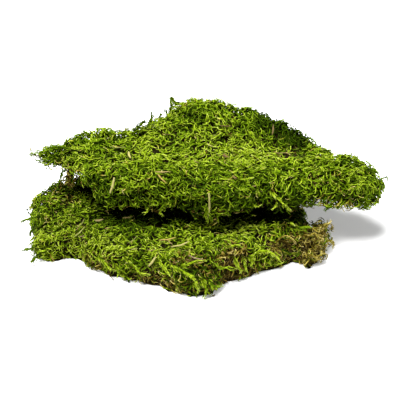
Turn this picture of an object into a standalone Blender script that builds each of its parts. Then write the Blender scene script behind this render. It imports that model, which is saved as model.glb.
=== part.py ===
"""A clump of sheet moss: two ragged mats lying one on the other, with dry litter caught on them.

Metres, +Z up. +X runs along the clump, +Y runs away from its open front, and the lower mat
lies on z = 0. A mat starts as a flat slab, is draped over a function for its underside, gets
drooping locks round its rim, is melted into one skin and is then tufted all over. The straws,
needles and scraps of the litter are laid on the finished skins.
"""

import math
import random

import bmesh
import bpy
import numpy as np
from mathutils import Matrix, Vector, noise
from mathutils.bvhtree import BVHTree

MM = 0.001
CLUMP = "moss_clump"
DOWN = Vector((0.0, 0.0, -1.0))
BACK = Vector((0.0, 1.0, 0.0))
BACK_AND_DOWN = Vector((0.0, 1.0, -1.0)).normalized()

# Rims of the two mats seen from above, in millimetres: corners of a smooth closed line.
LOWER_RIM = [
    (-119, -26), (-108, -29), (-92, -25), (-83, -36), (-72, -43), (-56, -51), (-38, -56), (-24, -65),
    (-12, -69), (2, -70), (10, -65), (19, -56), (31, -48), (44, -41), (56, -37), (62, -28), (66, -28),
    (71, -35), (77, -39), (84, -33), (90, -17), (91, -8), (87, -1), (79, 0), (76, 8), (73, 24),
    (64, 40), (46, 52), (22, 61), (-6, 65), (-36, 67), (-62, 67), (-88, 65), (-108, 58), (-121, 46),
    (-127, 29), (-126, 12), (-122, -4),
]
UPPER_RIM = [
    (-103, 31), (-96, 25), (-88, 15), (-78, 3), (-66, -8), (-52, -11), (-38, -11), (-24, -13),
    (-10, -17), (4, -22), (18, -22), (32, -17), (48, -12), (64, -11), (80, -12), (96, -13), (110, -12),
    (122, -6), (129, 4), (126, 16), (118, 27), (108, 35), (98, 39), (89, 45), (78, 54), (66, 62),
    (54, 70), (40, 78), (28, 85), (14, 91), (2, 93), (-12, 92), (-24, 91), (-30, 84), (-38, 76),
    (-46, 70), (-56, 68), (-70, 68), (-84, 66), (-94, 60), (-100, 52), (-108, 45), (-118, 43),
    (-124, 40), (-121, 36), (-113, 33),
]
RIM_SAMPLES = 160

# Thickness of the lower mat, height of the upper mat's top, and the share of a mat's thickness
# that is left at its rim.
LOWER_THICKNESS = 22 * MM
UPPER_TOP = 55 * MM
RIM_SHARE = 0.5
RIM_WIDTH = 13 * MM
SLAB_THICKNESS = 24 * MM

# The upper mat's underside: low where it rests at the back, raised at its front lip and ends.
REST_HEIGHT = 22 * MM
LIP_RISE = 11 * MM
LIP_Y = (26 * MM, -12 * MM)
RIGHT_END_RISE = 9 * MM
RIGHT_END_X = (66 * MM, 96 * MM)
LEFT_END_RISE = 19 * MM
LEFT_END_X = (-62 * MM, -96 * MM)
MAT_GAP = 1.0 * MM

# The lower mat is cut off flat this far up, and its dead right end is lifted off the ground.
BASE_CUT = 2.4 * MM
DEAD_END_RISE = 4 * MM
DEAD_END_X = (70 * MM, 92 * MM)

# Swells and hollows of the top faces: x, y, reach along x, reach along y, height, in millimetres.
LOWER_SWELLS = [
    (42, -27, 7, 6, -8),
    (-12, -54, 7, 5, -6),
    (88, -6, 8, 6, 5),
    (-60, -20, 30, 16, 3),
    (20, -30, 26, 16, 2),
    (-108, -8, 14, 16, -3),
]
UPPER_SWELLS = [
    (-2, 72, 40, 27, 19),
    (-86, 48, 34, 20, 4),
    (-62, 24, 30, 18, -3),
    (-30, 8, 22, 18, 4),
    (36, 4, 24, 16, 2),
    (62, 40, 24, 12, -7),
    (112, 14, 18, 18, 1),
]

# The rear right rim of the upper mat is curled up: its crest line and its height and width.
CURL_LINE = [(36, 74), (52, 65), (64, 57), (75, 48), (85, 40)]
CURL_HEIGHT = 11 * MM
CURL_WIDTH = 6.5 * MM

# Tufts: low domes all over, and tapered locks round the rims.
DOME_CELL = 15 * MM
DOME_HEIGHT = 3.4 * MM
DOME_STEEPNESS = 1.6
DOME_LEVEL = 0.55
GRAIN_CELL = 6 * MM
GRAIN_HEIGHT = 1.1 * MM
LOCK_SPACING = 12 * MM
LOCK_LENGTH = (9 * MM, 13 * MM)
LOCK_RADIUS = (3.2 * MM, 4.8 * MM)
LOCK_TIP = 0.45
LOCK_FAN = 35
LOCK_SIDES = 7
LOCK_FOOT_SHARE = (0.45, 0.8)
LOCK_FOOT_DEPTH = 2
LIP_DROOP = 50
RIM_DROOP = 8
# How squarely a stretch of rim has to face the front before it starts, and ends, to droop.
FRONT_FACING = (0.2, 0.8)
# Large locks that stand out singly: base x, y, z, tip x, y, z, base radius, in millimetres.
UPPER_LONG_LOCKS = [
    ((-97, 33, 46), (-97, 32, 27), 6.0),
    ((8, -16, 36), (6, -22, 22), 5.0),
    ((47, -8, 40), (54, -16, 31), 4.0),
    ((88, -9, 40), (86, -13, 30), 3.0),
    ((-40, 64, 46), (-47, 70, 58), 4.5),
    ((-22, 84, 60), (-30, 88, 68), 4.5),
]
LOWER_LONG_LOCKS = [
    ((-116, 8, 9), (-129, 4, 9), 3.5),
    ((-114, -18, 7), (-125, -14, 9), 4.0),
    ((83, -29, 8), (91, -31, 8), 3.5),
]

VOXEL = 2.6 * MM
SMOOTHING_STEPS = 2
LOWER_TRIANGLES = 4700
UPPER_TRIANGLES = 4900

MOSS_GREEN = (0.155, 0.235, 0.012, 1.0)
MOSS_ROUGHNESS = 0.75
LITTER_ROUGHNESS = 0.7
STRAW_PALE = (0.34, 0.32, 0.10, 1.0)
NEEDLE_BROWN = (0.27, 0.21, 0.06, 1.0)
STEM_ORANGE = (0.26, 0.19, 0.045, 1.0)
TWIG_GREY = (0.15, 0.11, 0.055, 1.0)

# Litter on each mat, in millimetres: name, one end, other end, thickness, the way it is pressed
# on to the moss, and its colour. Straws, needles and twigs are thin rods, scraps are flat flakes.
UPPER_RODS = [
    ("straw_on_lip", (4, -18, 53), (3, -24, 33), 2.0, BACK, STRAW_PALE),
    ("straw_upper_left", (-63, -2, 53), (-66, -9, 46), 2.2, BACK_AND_DOWN, STRAW_PALE),
    ("spruce_needle_long", (-34, -1, 57), (-23, -4, 58), 1.2, DOWN, NEEDLE_BROWN),
    ("spruce_needle_short", (-32, -4, 56), (-26, -9, 54), 1.2, DOWN, STEM_ORANGE),
    ("brown_needle_back", (12, 50, 64), (21, 52, 62), 1.4, DOWN, NEEDLE_BROWN),
]
LOWER_RODS = [
    ("pale_stick", (-22.5, -40, 20), (-10, -32, 20), 1.6, DOWN, STRAW_PALE),
    ("orange_stem", (-31, -32, 20), (-19.5, -29.5, 20), 1.7, DOWN, STEM_ORANGE),
    ("straw_lower_left", (-92, -22.5, 17), (-84, -16.5, 21), 1.2, DOWN, STRAW_PALE),
    ("needle_under_lip", (-57.5, -7, 22), (-49.5, -3, 21), 1.2, DOWN, NEEDLE_BROWN),
    ("straw_front", (-38, -54.5, 16), (-33, -51.5, 18), 1.9, DOWN, STRAW_PALE),
    ("twig_front", (-10, -49, 18), (-0.5, -56, 19), 1.2, DOWN, TWIG_GREY),
]
UPPER_SCRAPS = [
    ("bud_scale_rear", (51.5, 56, 58), (50.5, 50, 55), 2.2, DOWN, STEM_ORANGE),
]
LOWER_SCRAPS = [
    ("leaf_scrap", (-78, -9, 21), (-71, -8, 20), 2.8, DOWN, STRAW_PALE),
    ("bark_scrap", (-88.5, -24.5, 16), (-83.5, -27.5, 17), 3.0, DOWN, TWIG_GREY),
]
LITTER_GAP = 0.5 * MM
LITTER_POINTS = 5
SCRAP_FLATNESS = 0.35
REACH = 300 * MM
GROUND_BLOCK = 400 * MM


def clear_scene():
    """Remove whatever the scene holds, and make the collection for the clump."""
    for old in list(bpy.data.objects):
        bpy.data.objects.remove(old)
    bpy.context.scene.collection.children.link(bpy.data.collections.new(CLUMP))


def add_to_clump(name, data):
    """A new object for the data, in the clump's collection."""
    made = bpy.data.objects.new(name, data)
    bpy.data.collections[CLUMP].objects.link(made)
    return made


def material(name, colour, roughness):
    """A plain Principled material."""
    made = bpy.data.materials.new(name)
    made.use_nodes = True
    shader = made.node_tree.nodes["Principled BSDF"]
    shader.inputs["Base Color"].default_value = colour
    shader.inputs["Roughness"].default_value = roughness
    shader.inputs["Metallic"].default_value = 0.0
    return made


def smooth_step(low, high, value):
    """0 before low, 1 after high, and an S curve between them."""
    share = np.clip((value - low) / (high - low), 0.0, 1.0)
    return share * share * (3.0 - 2.0 * share)


def smooth_line(corners, samples):
    """Closed Catmull-Rom curve through corners given in millimetres."""
    points = np.array(corners, float) * MM
    place = np.linspace(0.0, len(points), samples, endpoint=False)
    before = place.astype(int)
    t = (place - before)[:, None]
    a, b, c, d = (points[(before + step) % len(points)] for step in (-1, 0, 1, 2))
    return 0.5 * (2 * b + (c - a) * t + (2 * a - 5 * b + 4 * c - d) * t**2 + (3 * b - a - 3 * c + d) * t**3)


def distance_to(line, spots, closed=True):
    """Distance in plan of each spot from a line of points."""
    starts = line if closed else line[:-1]
    ends = np.roll(line, -1, axis=0) if closed else line[1:]
    way = ends - starts
    away = spots[:, None, :] - starts[None, :, :]
    share = np.clip((away * way).sum(2) / (way * way).sum(1), 0.0, 1.0)
    return np.linalg.norm(away - share[:, :, None] * way, axis=2).min(1)


def swell_height(swells, x, y):
    """Sum of bell-shaped swells, each with its own reach along x and y."""
    total = np.zeros_like(x)
    for centre_x, centre_y, reach_x, reach_y, height in swells:
        across = (x - centre_x * MM) / (reach_x * MM)
        along = (y - centre_y * MM) / (reach_y * MM)
        total += height * MM * np.exp(-(across**2) - along**2)
    return total


def slab(name, line):
    """A flat slab with the rim as its outline, as one mesh centred on z = 0."""
    curve = bpy.data.curves.new(name, "CURVE")
    curve.dimensions = "2D"
    curve.fill_mode = "BOTH"
    curve.extrude = SLAB_THICKNESS / 2
    spline = curve.splines.new("POLY")
    spline.points.add(len(line) - 1)
    for point, (x, y) in zip(spline.points, line):
        point.co = (x, y, 0.0, 1.0)
    spline.use_cyclic_u = True
    return to_mesh_object(add_to_clump(name, curve))


def to_mesh_object(source):
    """Replace an object by the mesh that its modifiers or its curve give."""
    bpy.context.view_layer.update()
    graph = bpy.context.evaluated_depsgraph_get()
    mesh = bpy.data.meshes.new_from_object(source.evaluated_get(graph))
    name, place = source.name, source.matrix_world.copy()
    bpy.data.objects.remove(source)
    made = add_to_clump(name, mesh)
    made.matrix_world = place
    return made


def points_of(mat):
    """The mesh's points as rows."""
    points = np.empty(len(mat.data.vertices) * 3)
    mat.data.vertices.foreach_get("co", points)
    return points.reshape(-1, 3)


def normals_of(mat):
    """The mesh's point normals as rows."""
    normals = np.empty(len(mat.data.vertices) * 3, np.float32)
    mat.data.vertex_normals.foreach_get("vector", normals)
    return normals.reshape(-1, 3).astype(float)


def set_points(mat, points):
    """Write rows of points back to the mesh."""
    mat.data.vertices.foreach_set("co", points.ravel())
    mat.data.update()


def melt(mat, voxel):
    """Fuse overlapping shells into one skin of even faces."""
    remesh = mat.modifiers.new("melt", "REMESH")
    remesh.mode = "VOXEL"
    remesh.voxel_size = voxel
    soften = mat.modifiers.new("soften", "SMOOTH")
    soften.factor = 0.5
    soften.iterations = SMOOTHING_STEPS
    return to_mesh_object(mat)


def rim_ease(line, points):
    """RIM_SHARE at the rim, growing along a quarter circle to 1 at RIM_WIDTH inside it."""
    inside = np.clip(distance_to(line, points[:, :2]) / RIM_WIDTH, 0.0, 1.0)
    round_edge = np.sqrt(1.0 - (1.0 - inside) ** 2)
    return RIM_SHARE + (1.0 - RIM_SHARE) * round_edge


def lower_underside(x, y):
    """The lower mat lies flat, apart from its dead end."""
    return DEAD_END_RISE * smooth_step(*DEAD_END_X, x)


def lower_thickness(x, y):
    """Even, with pits and low swells."""
    return LOWER_THICKNESS + swell_height(LOWER_SWELLS, x, y)


def upper_underside(x, y):
    """The upper mat rests at the back, and rises to its front lip and both ends."""
    lip = LIP_RISE * smooth_step(*LIP_Y, y)
    right = RIGHT_END_RISE * smooth_step(*RIGHT_END_X, x)
    left = LEFT_END_RISE * smooth_step(*LEFT_END_X, x)
    return REST_HEIGHT + np.maximum(lip, np.maximum(left, right))


def upper_thickness(x, y):
    """Up to a top that is domed at the back and curled up along its rear right rim."""
    crest = np.array(CURL_LINE, float) * MM
    away = distance_to(crest, np.stack((x, y), axis=1), closed=False)
    curl = CURL_HEIGHT * np.exp(-((away / CURL_WIDTH) ** 2))
    return UPPER_TOP + swell_height(UPPER_SWELLS, x, y) + curl - upper_underside(x, y)


def drape(mat, line, underside, thickness):
    """Lay a flat slab over its underside's heights, with its thickness eased at the rim."""
    points = points_of(mat)
    share = points[:, 2] / SLAB_THICKNESS + 0.5
    x, y = points[:, 0], points[:, 1]
    points[:, 2] = underside(x, y) + share * thickness(x, y) * rim_ease(line, points)
    set_points(mat, points)


def add_lock(shape, base, tip, radius):
    """Add one tapered lock, a blunt cone from base to tip."""
    way = tip - base
    turn = way.to_track_quat("Z", "Y").to_matrix().to_4x4()
    bmesh.ops.create_cone(
        shape,
        cap_ends=True,
        segments=LOCK_SIDES,
        radius1=radius,
        radius2=radius * LOCK_TIP,
        depth=way.length,
        matrix=Matrix.Translation(base + way / 2) @ turn,
    )


def add_rim_locks(shape, line, underside, thickness, front_droop, seed):
    """Locks all round the rim at an even spacing, fanned a little, drooping most at the front."""
    pick = random.Random(seed)
    ahead = np.roll(line, -1, axis=0) - line
    count = int(np.linalg.norm(ahead, axis=1).sum() / LOCK_SPACING)
    low = underside(line[:, 0], line[:, 1])
    deep = thickness(line[:, 0], line[:, 1]) * RIM_SHARE
    for number in range(count):
        index = int(number * len(line) / count)
        along = Vector((*ahead[index], 0.0)).normalized()
        outward = Vector((along.y, -along.x, 0.0))
        faces_front = smooth_step(*FRONT_FACING, -outward.y)
        droop = math.radians(RIM_DROOP + (front_droop - RIM_DROOP) * faces_front)
        outward.rotate(Matrix.Rotation(math.radians(pick.uniform(-LOCK_FAN, LOCK_FAN)), 3, "Z"))
        way = outward * math.cos(droop) + DOWN * math.sin(droop)
        radius = pick.uniform(*LOCK_RADIUS)
        height = low[index] + deep[index] * pick.uniform(*LOCK_FOOT_SHARE)
        foot = Vector((*line[index], height)) - outward * radius * LOCK_FOOT_DEPTH
        add_lock(shape, foot, foot + way * pick.uniform(*LOCK_LENGTH), radius)


def add_locks(mat, line, underside, thickness, front_droop, seed, long_locks):
    """Put the rim's locks and the single long ones into the mat's mesh."""
    shape = bmesh.new()
    shape.from_mesh(mat.data)
    add_rim_locks(shape, line, underside, thickness, front_droop, seed)
    for base, tip, radius in long_locks:
        add_lock(shape, Vector(base) * MM, Vector(tip) * MM, radius * MM)
    shape.to_mesh(mat.data)
    shape.free()


def tuft(mat, seed):
    """Push the skin out along its normals into low domes, with a finer grain over them."""
    points = points_of(mat)
    normals = normals_of(mat)
    shift = Vector((seed, 2 * seed, 3 * seed))
    heights = np.empty(len(points))
    for index, point in enumerate(points):
        place = Vector(point)
        nearest = noise.voronoi(place / DOME_CELL + shift)[0][0]
        dome = max(0.0, 1.0 - nearest * nearest * DOME_STEEPNESS) - DOME_LEVEL
        heights[index] = DOME_HEIGHT * dome + GRAIN_HEIGHT * noise.noise(place / GRAIN_CELL + shift)
    set_points(mat, points + normals * heights[:, None])


def sink(mat, depth):
    """Lower the whole mat."""
    points = points_of(mat)
    points[:, 2] -= depth
    set_points(mat, points)


def cut_flat(mat):
    """Cut away everything under the ground, which leaves a flat base to rest on."""
    bpy.ops.mesh.primitive_cube_add(size=GROUND_BLOCK, location=(0.0, 0.0, -GROUND_BLOCK / 2))
    ground = bpy.context.object
    cut = mat.modifiers.new("cut", "BOOLEAN")
    cut.operation = "DIFFERENCE"
    cut.object = ground
    cut_mat = to_mesh_object(mat)
    bpy.data.objects.remove(ground)
    return cut_mat


def skin_of(mat):
    """A search tree of the mat's faces."""
    return BVHTree.FromObject(mat, bpy.context.evaluated_depsgraph_get())


def settle(upper, lower, gap):
    """Lift the upper mat's points clear of the lower mat's top, so that it rests on it."""
    skin = skin_of(lower)
    points = points_of(upper)
    for point in points:
        found = skin.ray_cast(Vector((point[0], point[1], 1.0)), DOWN)[0]
        if found is not None:
            point[2] = max(point[2], found.z + gap)
    set_points(upper, points)


def thin_out(mat, triangles):
    """Fewer faces where the skin is even."""
    count = len(mat.data.polygons) * 2
    decimate = mat.modifiers.new("thin_out", "DECIMATE")
    decimate.ratio = triangles / count
    return to_mesh_object(mat)


def connected_to(first):
    """All points of a mesh that can be reached from one of them along edges."""
    reached = {first}
    waiting = [first]
    while waiting:
        for edge in waiting.pop().link_edges:
            for vert in edge.verts:
                if vert not in reached:
                    reached.add(vert)
                    waiting.append(vert)
    return reached


def drop_crumbs(mat):
    """Delete the thin tips of locks that came off the mat's body when it was melted."""
    shape = bmesh.new()
    shape.from_mesh(mat.data)
    left = set(shape.verts)
    groups = []
    while left:
        groups.append(connected_to(next(iter(left))))
        left -= groups[-1]
    body = max(groups, key=len)
    crumbs = [vert for vert in shape.verts if vert not in body]
    bmesh.ops.delete(shape, geom=crumbs, context="VERTS")
    shape.to_mesh(mat.data)
    shape.free()


def finish_mat(mat, colour, triangles):
    """Give the mat its only material, thin it out and drop what came loose."""
    mat.data.materials.clear()
    mat.data.materials.append(colour)
    thinned = thin_out(mat, triangles)
    drop_crumbs(thinned)
    return thinned


def lower_mat(green):
    """The mat that lies on the ground."""
    line = smooth_line(LOWER_RIM, RIM_SAMPLES)
    mat = melt(slab("moss_mat_lower", line), VOXEL)
    drape(mat, line, lower_underside, lower_thickness)
    add_locks(mat, line, lower_underside, lower_thickness, RIM_DROOP, 3, LOWER_LONG_LOCKS)
    mat = melt(mat, VOXEL)
    tuft(mat, seed=1.7)
    sink(mat, BASE_CUT)
    return cut_flat(finish_mat(mat, green, LOWER_TRIANGLES))


def upper_mat(green, lower):
    """The mat that lies on the lower one and overhangs it."""
    line = smooth_line(UPPER_RIM, RIM_SAMPLES)
    mat = melt(slab("moss_mat_upper", line), VOXEL)
    drape(mat, line, upper_underside, upper_thickness)
    add_locks(mat, line, upper_underside, upper_thickness, LIP_DROOP, 8, UPPER_LONG_LOCKS)
    mat = melt(mat, VOXEL)
    tuft(mat, seed=5.3)
    settle(mat, lower, MAT_GAP)
    return finish_mat(mat, green, UPPER_TRIANGLES)


def room_at(skin, spot, width, towards):
    """How far a rod of this width can move from the spot before it touches the skin."""
    side = towards.orthogonal().normalized() * width
    other = towards.cross(side)
    tries = [spot, spot + side, spot - side, spot + other, spot - other]
    hits = [skin.ray_cast(start - towards * REACH, towards)[3] for start in tries]
    return min(hit for hit in hits if hit is not None) - REACH


def laid_points(skin, start, end, width, towards):
    """Points of a slightly bowed line that lies on the skin, a gap off it at its closest."""
    shares = np.linspace(0.0, 1.0, LITTER_POINTS)
    start, end = Vector(start) * MM, Vector(end) * MM
    spots = [start.lerp(end, share) for share in shares]
    room = np.array([room_at(skin, spot, width, towards) for spot in spots])
    bow = np.polyval(np.polyfit(shares, room, 2), shares)
    bow -= (bow - room).max() + width / 2 + LITTER_GAP
    return [spot + towards * move for spot, move in zip(spots, bow)]


def rod(name, points, width):
    """A thin tube along the points, closed at both ends."""
    curve = bpy.data.curves.new(name, "CURVE")
    curve.dimensions = "3D"
    curve.bevel_depth = width / 2
    curve.bevel_resolution = 2
    curve.use_fill_caps = True
    spline = curve.splines.new("POLY")
    spline.points.add(len(points) - 1)
    for place, point in zip(spline.points, points):
        place.co = (*point, 1.0)
    return add_to_clump(name, curve)


def scrap(name, points, width, towards):
    """A flat flake from the first point to the last, lying across the way it is pressed."""
    way = points[-1] - points[0]
    along = way.normalized()
    across = along.cross(towards).normalized()
    turn = Matrix((along, across, along.cross(across))).transposed().to_4x4()
    size = Matrix.Diagonal((way.length / 2, width / 2, width / 2 * SCRAP_FLATNESS, 1.0))
    shape = bmesh.new()
    place = Matrix.Translation(points[0] + way / 2) @ turn @ size
    bmesh.ops.create_icosphere(shape, subdivisions=2, radius=1.0, matrix=place)
    mesh = bpy.data.meshes.new(name)
    shape.to_mesh(mesh)
    shape.free()
    return add_to_clump(name, mesh)


def lay_litter(mat, rods, scraps):
    """Lay the rods and scraps on one mat."""
    skin = skin_of(mat)
    for name, start, end, width, towards, colour in rods:
        points = laid_points(skin, start, end, width * MM, towards)
        piece = rod(name, points, width * MM)
        piece.data.materials.append(material(name, colour, LITTER_ROUGHNESS))
    for name, start, end, width, towards, colour in scraps:
        points = laid_points(skin, start, end, width * MM, towards)
        piece = scrap(name, points, width * MM, towards)
        piece.data.materials.append(material(name, colour, LITTER_ROUGHNESS))


def stand_at_origin():
    """Move everything so that the middle of its box is over the origin."""
    pieces = list(bpy.data.collections[CLUMP].objects)
    bpy.context.view_layer.update()
    corners = np.array([piece.matrix_world @ Vector(c) for piece in pieces for c in piece.bound_box])
    middle = (corners.min(axis=0) + corners.max(axis=0)) / 2
    for piece in pieces:
        piece.location.x -= middle[0]
        piece.location.y -= middle[1]


def main():
    """Build the clump."""
    clear_scene()
    green = material("moss", MOSS_GREEN, MOSS_ROUGHNESS)
    lower = lower_mat(green)
    upper = upper_mat(green, lower)
    lay_litter(lower, LOWER_RODS, LOWER_SCRAPS)
    lay_litter(upper, UPPER_RODS, UPPER_SCRAPS)
    stand_at_origin()


main()
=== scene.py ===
"""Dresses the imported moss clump: leafy shoots on two mats of dark thatch, with fibres, strands and litter.

Lengths are in metres unless a name ends in _mm. The clump stands on z = 0 with its open front towards -Y.
"""

import math

import bpy
import numpy as np
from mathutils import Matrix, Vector


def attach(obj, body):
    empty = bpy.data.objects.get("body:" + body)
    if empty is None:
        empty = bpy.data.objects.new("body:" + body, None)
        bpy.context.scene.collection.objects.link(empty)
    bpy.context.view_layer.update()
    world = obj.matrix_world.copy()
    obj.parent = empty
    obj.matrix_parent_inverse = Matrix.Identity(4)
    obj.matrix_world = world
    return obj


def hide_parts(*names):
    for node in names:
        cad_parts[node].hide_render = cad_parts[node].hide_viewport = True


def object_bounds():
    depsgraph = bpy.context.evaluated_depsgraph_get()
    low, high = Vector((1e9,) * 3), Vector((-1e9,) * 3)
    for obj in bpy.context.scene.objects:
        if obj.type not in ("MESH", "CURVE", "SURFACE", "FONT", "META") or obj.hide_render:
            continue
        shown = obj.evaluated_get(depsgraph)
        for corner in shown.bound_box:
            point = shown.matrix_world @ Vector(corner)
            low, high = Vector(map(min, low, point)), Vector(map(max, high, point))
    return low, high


bl_info = {
    "name": "Moss clump",
    "version": (1, 0, 0),
    "blender": (4, 5, 0),
    "location": "3D View > Sidebar > Moss",
    "description": "Covers the solid mats of a moss clump with shoots, fibres and litter",
    "category": "Object",
}

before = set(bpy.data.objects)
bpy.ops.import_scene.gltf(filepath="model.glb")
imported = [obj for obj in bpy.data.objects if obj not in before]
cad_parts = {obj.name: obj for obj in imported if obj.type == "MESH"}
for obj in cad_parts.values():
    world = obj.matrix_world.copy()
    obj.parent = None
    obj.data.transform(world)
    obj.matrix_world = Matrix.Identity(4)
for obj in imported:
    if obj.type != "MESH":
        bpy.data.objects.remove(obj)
CAD_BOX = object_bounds()

MM = 0.001
UPPER, LOWER = "moss_mat_upper", "moss_mat_lower"
SAME_PLACE = 0.001 * MM  # corners of a solid closer than this are one corner
FIELD_SEED = 5

SHADE_MAP = "OFBake"
MAP_END, MAP_RING = 0.02, 0.06  # how far a tube's closing points and outer rings are from the map's edge
RING_SPREAD = 0.01  # how far V goes to either side of a shoot's shade
LIVING_SHADES = (0.44, 0.97)  # darkest and brightest
DRY_SHADES = (0.03, 0.42)
ALL_SHADES = (DRY_SHADES[0], LIVING_SHADES[1])
LIVING_FROM = 0.43
WITHERED_BELOW = 0.345  # a darker shade than this has the root colours of a dead shoot

BOX_MARGIN = np.array([6.5, 4.2, 1.8]) * MM  # how far single tips may stand out of the CAD box
EASE_FROM = 0.97  # share of the way to the box's side from which lines are drawn in
GROUND_CLEARANCE = 0.9 * MM
NEARLY_UP = np.array([0.02, 0.03, 1.0])  # no piece of litter follows this, so it gives each its sides
ASKEW_UP = np.array([0.123, 0.217, 0.968])  # the same for shoots


# --------------------------------------------------------------------------------------------------
# The mats' outer form


def unit(vectors):
    """Each vector divided by its own length."""
    return vectors / np.maximum(np.linalg.norm(vectors, axis=-1, keepdims=True), 1e-12)


def smooth(values, low, high):
    """The curve 3t² - 2t³, where t goes from 0 at low to 1 at high."""
    t = np.clip((values - low) / (high - low), 0, 1)
    return t * t * (3 - 2 * t)


def node_corners(node):
    """The corners of a solid, one row each."""
    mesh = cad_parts[node].data
    corners = np.empty(len(mesh.vertices) * 3, np.float32)
    mesh.vertices.foreach_get("co", corners)
    return corners.reshape(-1, 3).astype(float)


def crosses(corners, faces):
    """Every face's cross product, which points outwards and is as long as twice the face's area."""
    a, b, c = (corners[faces[:, k]] for k in range(3))
    return np.cross(b - a, c - a)


def facing_sums(corners, faces):
    """For every corner, the sum of the cross products of the faces round it."""
    facing = crosses(corners, faces)
    total = np.zeros_like(corners)
    for k in range(3):
        np.add.at(total, faces[:, k], facing)
    return total


def solid_surface(node):
    """Corners, triangles and smooth corner normals of a solid, with the corners that share a place merged.

    A corner's normal is the sum of the cross products of the triangles round it, scaled to a length of one.
    """
    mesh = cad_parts[node].data
    loops = np.empty(len(mesh.loops), np.int32)
    mesh.loops.foreach_get("vertex_index", loops)
    places = np.round(node_corners(node) / SAME_PLACE).astype(np.int64)
    unique, merged = np.unique(places, axis=0, return_inverse=True)
    corners = unique * SAME_PLACE
    triangles = merged.reshape(-1)[loops].reshape(-1, 3)
    triangles = triangles[(triangles != np.roll(triangles, 1, axis=1)).all(1)]
    return corners, triangles, unit(facing_sums(corners, triangles))


class Skin:
    """A mat's outer form as a height that can be read anywhere near it.

    The height at x is the mean of n·(x - p) over surface points p, where n is the normal at p. Each is
    weighted by its area and by exp(-|x - p|² / 2s²). It is positive outside. The direction outwards is the
    same mean of n.
    """

    CELL = 1.5 * MM
    SPREAD = 1.5 * MM
    REACH = 3  # cells round a point that it counts in
    BORDER = 5  # free cells round the mat
    PARTS = 6  # a face's edge is cut into this many
    NEAR = 1e-12  # the least weight at a place that counts as near the mat

    def __init__(self, node):
        self.corners, self.triangles, self.normals = solid_surface(node)
        points, facing, areas = self.even_points()
        self.low = self.corners.min(0) - self.BORDER * self.CELL
        self.shape = np.ceil((self.corners.max(0) - self.low) / self.CELL).astype(int) + self.BORDER + 1
        nearest = np.round((points - self.low) / self.CELL).astype(int)
        size = int(self.shape.prod())
        sums = np.zeros((5, size))
        steps = np.arange(-self.REACH, self.REACH + 1)
        around = np.array(np.meshgrid(steps, steps, steps)).reshape(3, -1).T
        around = around[(around**2).sum(1) <= (self.REACH + 0.3) ** 2]
        for offset in around:
            place = nearest + offset
            gap = self.low + place * self.CELL - points
            weight = areas * np.exp(-(gap**2).sum(1) / (2 * self.SPREAD**2))
            index = self.cell_number(place)
            sums[0] += np.bincount(index, weight * (gap * facing).sum(1), size)
            for k in range(3):
                sums[1 + k] += np.bincount(index, weight * facing[:, k], size)
            sums[4] += np.bincount(index, weight, size)
        self.grid = sums.T.copy()

    def cell_number(self, place):
        """Row of the grid that holds a cell, from its steps along x, y and z."""
        return (place[..., 0] * self.shape[1] + place[..., 1]) * self.shape[2] + place[..., 2]

    def even_points(self):
        """Points on a triangular grid on every face, with their normals and the areas that they stand for."""
        i, j = np.meshgrid(np.arange(self.PARTS), np.arange(self.PARTS), indexing="ij")
        i, j = i[i + j < self.PARTS], j[i + j < self.PARTS]
        second, third = (i + 1 / 3) / self.PARTS, (j + 1 / 3) / self.PARTS
        shares = np.stack([1 - second - third, second, third], 1)
        points = np.einsum("sk,fkx->fsx", shares, self.corners[self.triangles]).reshape(-1, 3)
        facing = unit(np.einsum("sk,fkx->fsx", shares, self.normals[self.triangles]).reshape(-1, 3))
        areas = np.repeat(self.face_areas() / len(shares), len(shares))
        return points, facing, areas

    def face_areas(self):
        """Half the length of each face's cross product."""
        return np.linalg.norm(crosses(self.corners, self.triangles), axis=1) / 2

    def read(self, points):
        """For every point, its height over the mat, the direction outwards, and whether the mat is near.

        Each is the mean of the eight cells round the point, weighted by how close they are.
        """
        place = np.clip((points - self.low) / self.CELL, 0, self.shape - 1.001)
        first = np.floor(place).astype(int)
        part = place - first
        total = np.zeros(points.shape[:-1] + (5,))
        for corner in np.ndindex(2, 2, 2):
            share = np.prod(np.where(np.array(corner), part, 1 - part), axis=-1)
            total += share[..., None] * self.grid[self.cell_number(first + np.array(corner))]
        weight = total[..., 4]
        near = weight > self.NEAR
        height = np.where(near, total[..., 0] / np.maximum(weight, 1e-30), 0)
        return height, unit(total[..., 1:4]), near

    def scatter(self, count, density, rng):
        """Points spread over the faces in proportion to area and density, with their normals.

        The running total of the faces' weights is cut into equal shares with one random point in each.
        """
        middles = self.corners[self.triangles].mean(1)
        facing = unit(self.normals[self.triangles].mean(1))
        weights = self.face_areas() * density(middles, facing)
        running = np.cumsum(weights)
        picks = (np.arange(count) + rng.random(count)) / count * running[-1]
        face = np.minimum(np.searchsorted(running, picks), len(weights) - 1)
        r1, r2 = np.sqrt(rng.random(count)), rng.random(count)
        mix = np.stack([1 - r1, r1 * (1 - r2), r1 * r2], 1)
        points = np.einsum("nk,nkx->nx", mix, self.corners[self.triangles[face]])
        normals = unit(np.einsum("nk,nkx->nx", mix, self.normals[self.triangles[face]]))
        return points, normals


class Swirl:
    """A smooth random field: a sum of sine waves in random directions, about one wave in the given length."""

    def __init__(self, rng, length, parts, waves=14):
        bearing = unit(rng.normal(size=(parts, waves, 3)))
        self.bearing = bearing * (2 * math.pi / (length * rng.uniform(0.7, 1.6, (parts, waves, 1))))
        self.phase = rng.uniform(0, 2 * math.pi, (parts, waves))

    def read(self, points):
        """The field's values, one column for each part, mostly between -1.5 and 1.5."""
        angle = np.einsum("nx,pwx->npw", points, self.bearing) + self.phase
        return np.sin(angle).sum(-1) * math.sqrt(2 / self.phase.shape[1])


# --------------------------------------------------------------------------------------------------
# Shoots


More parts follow.
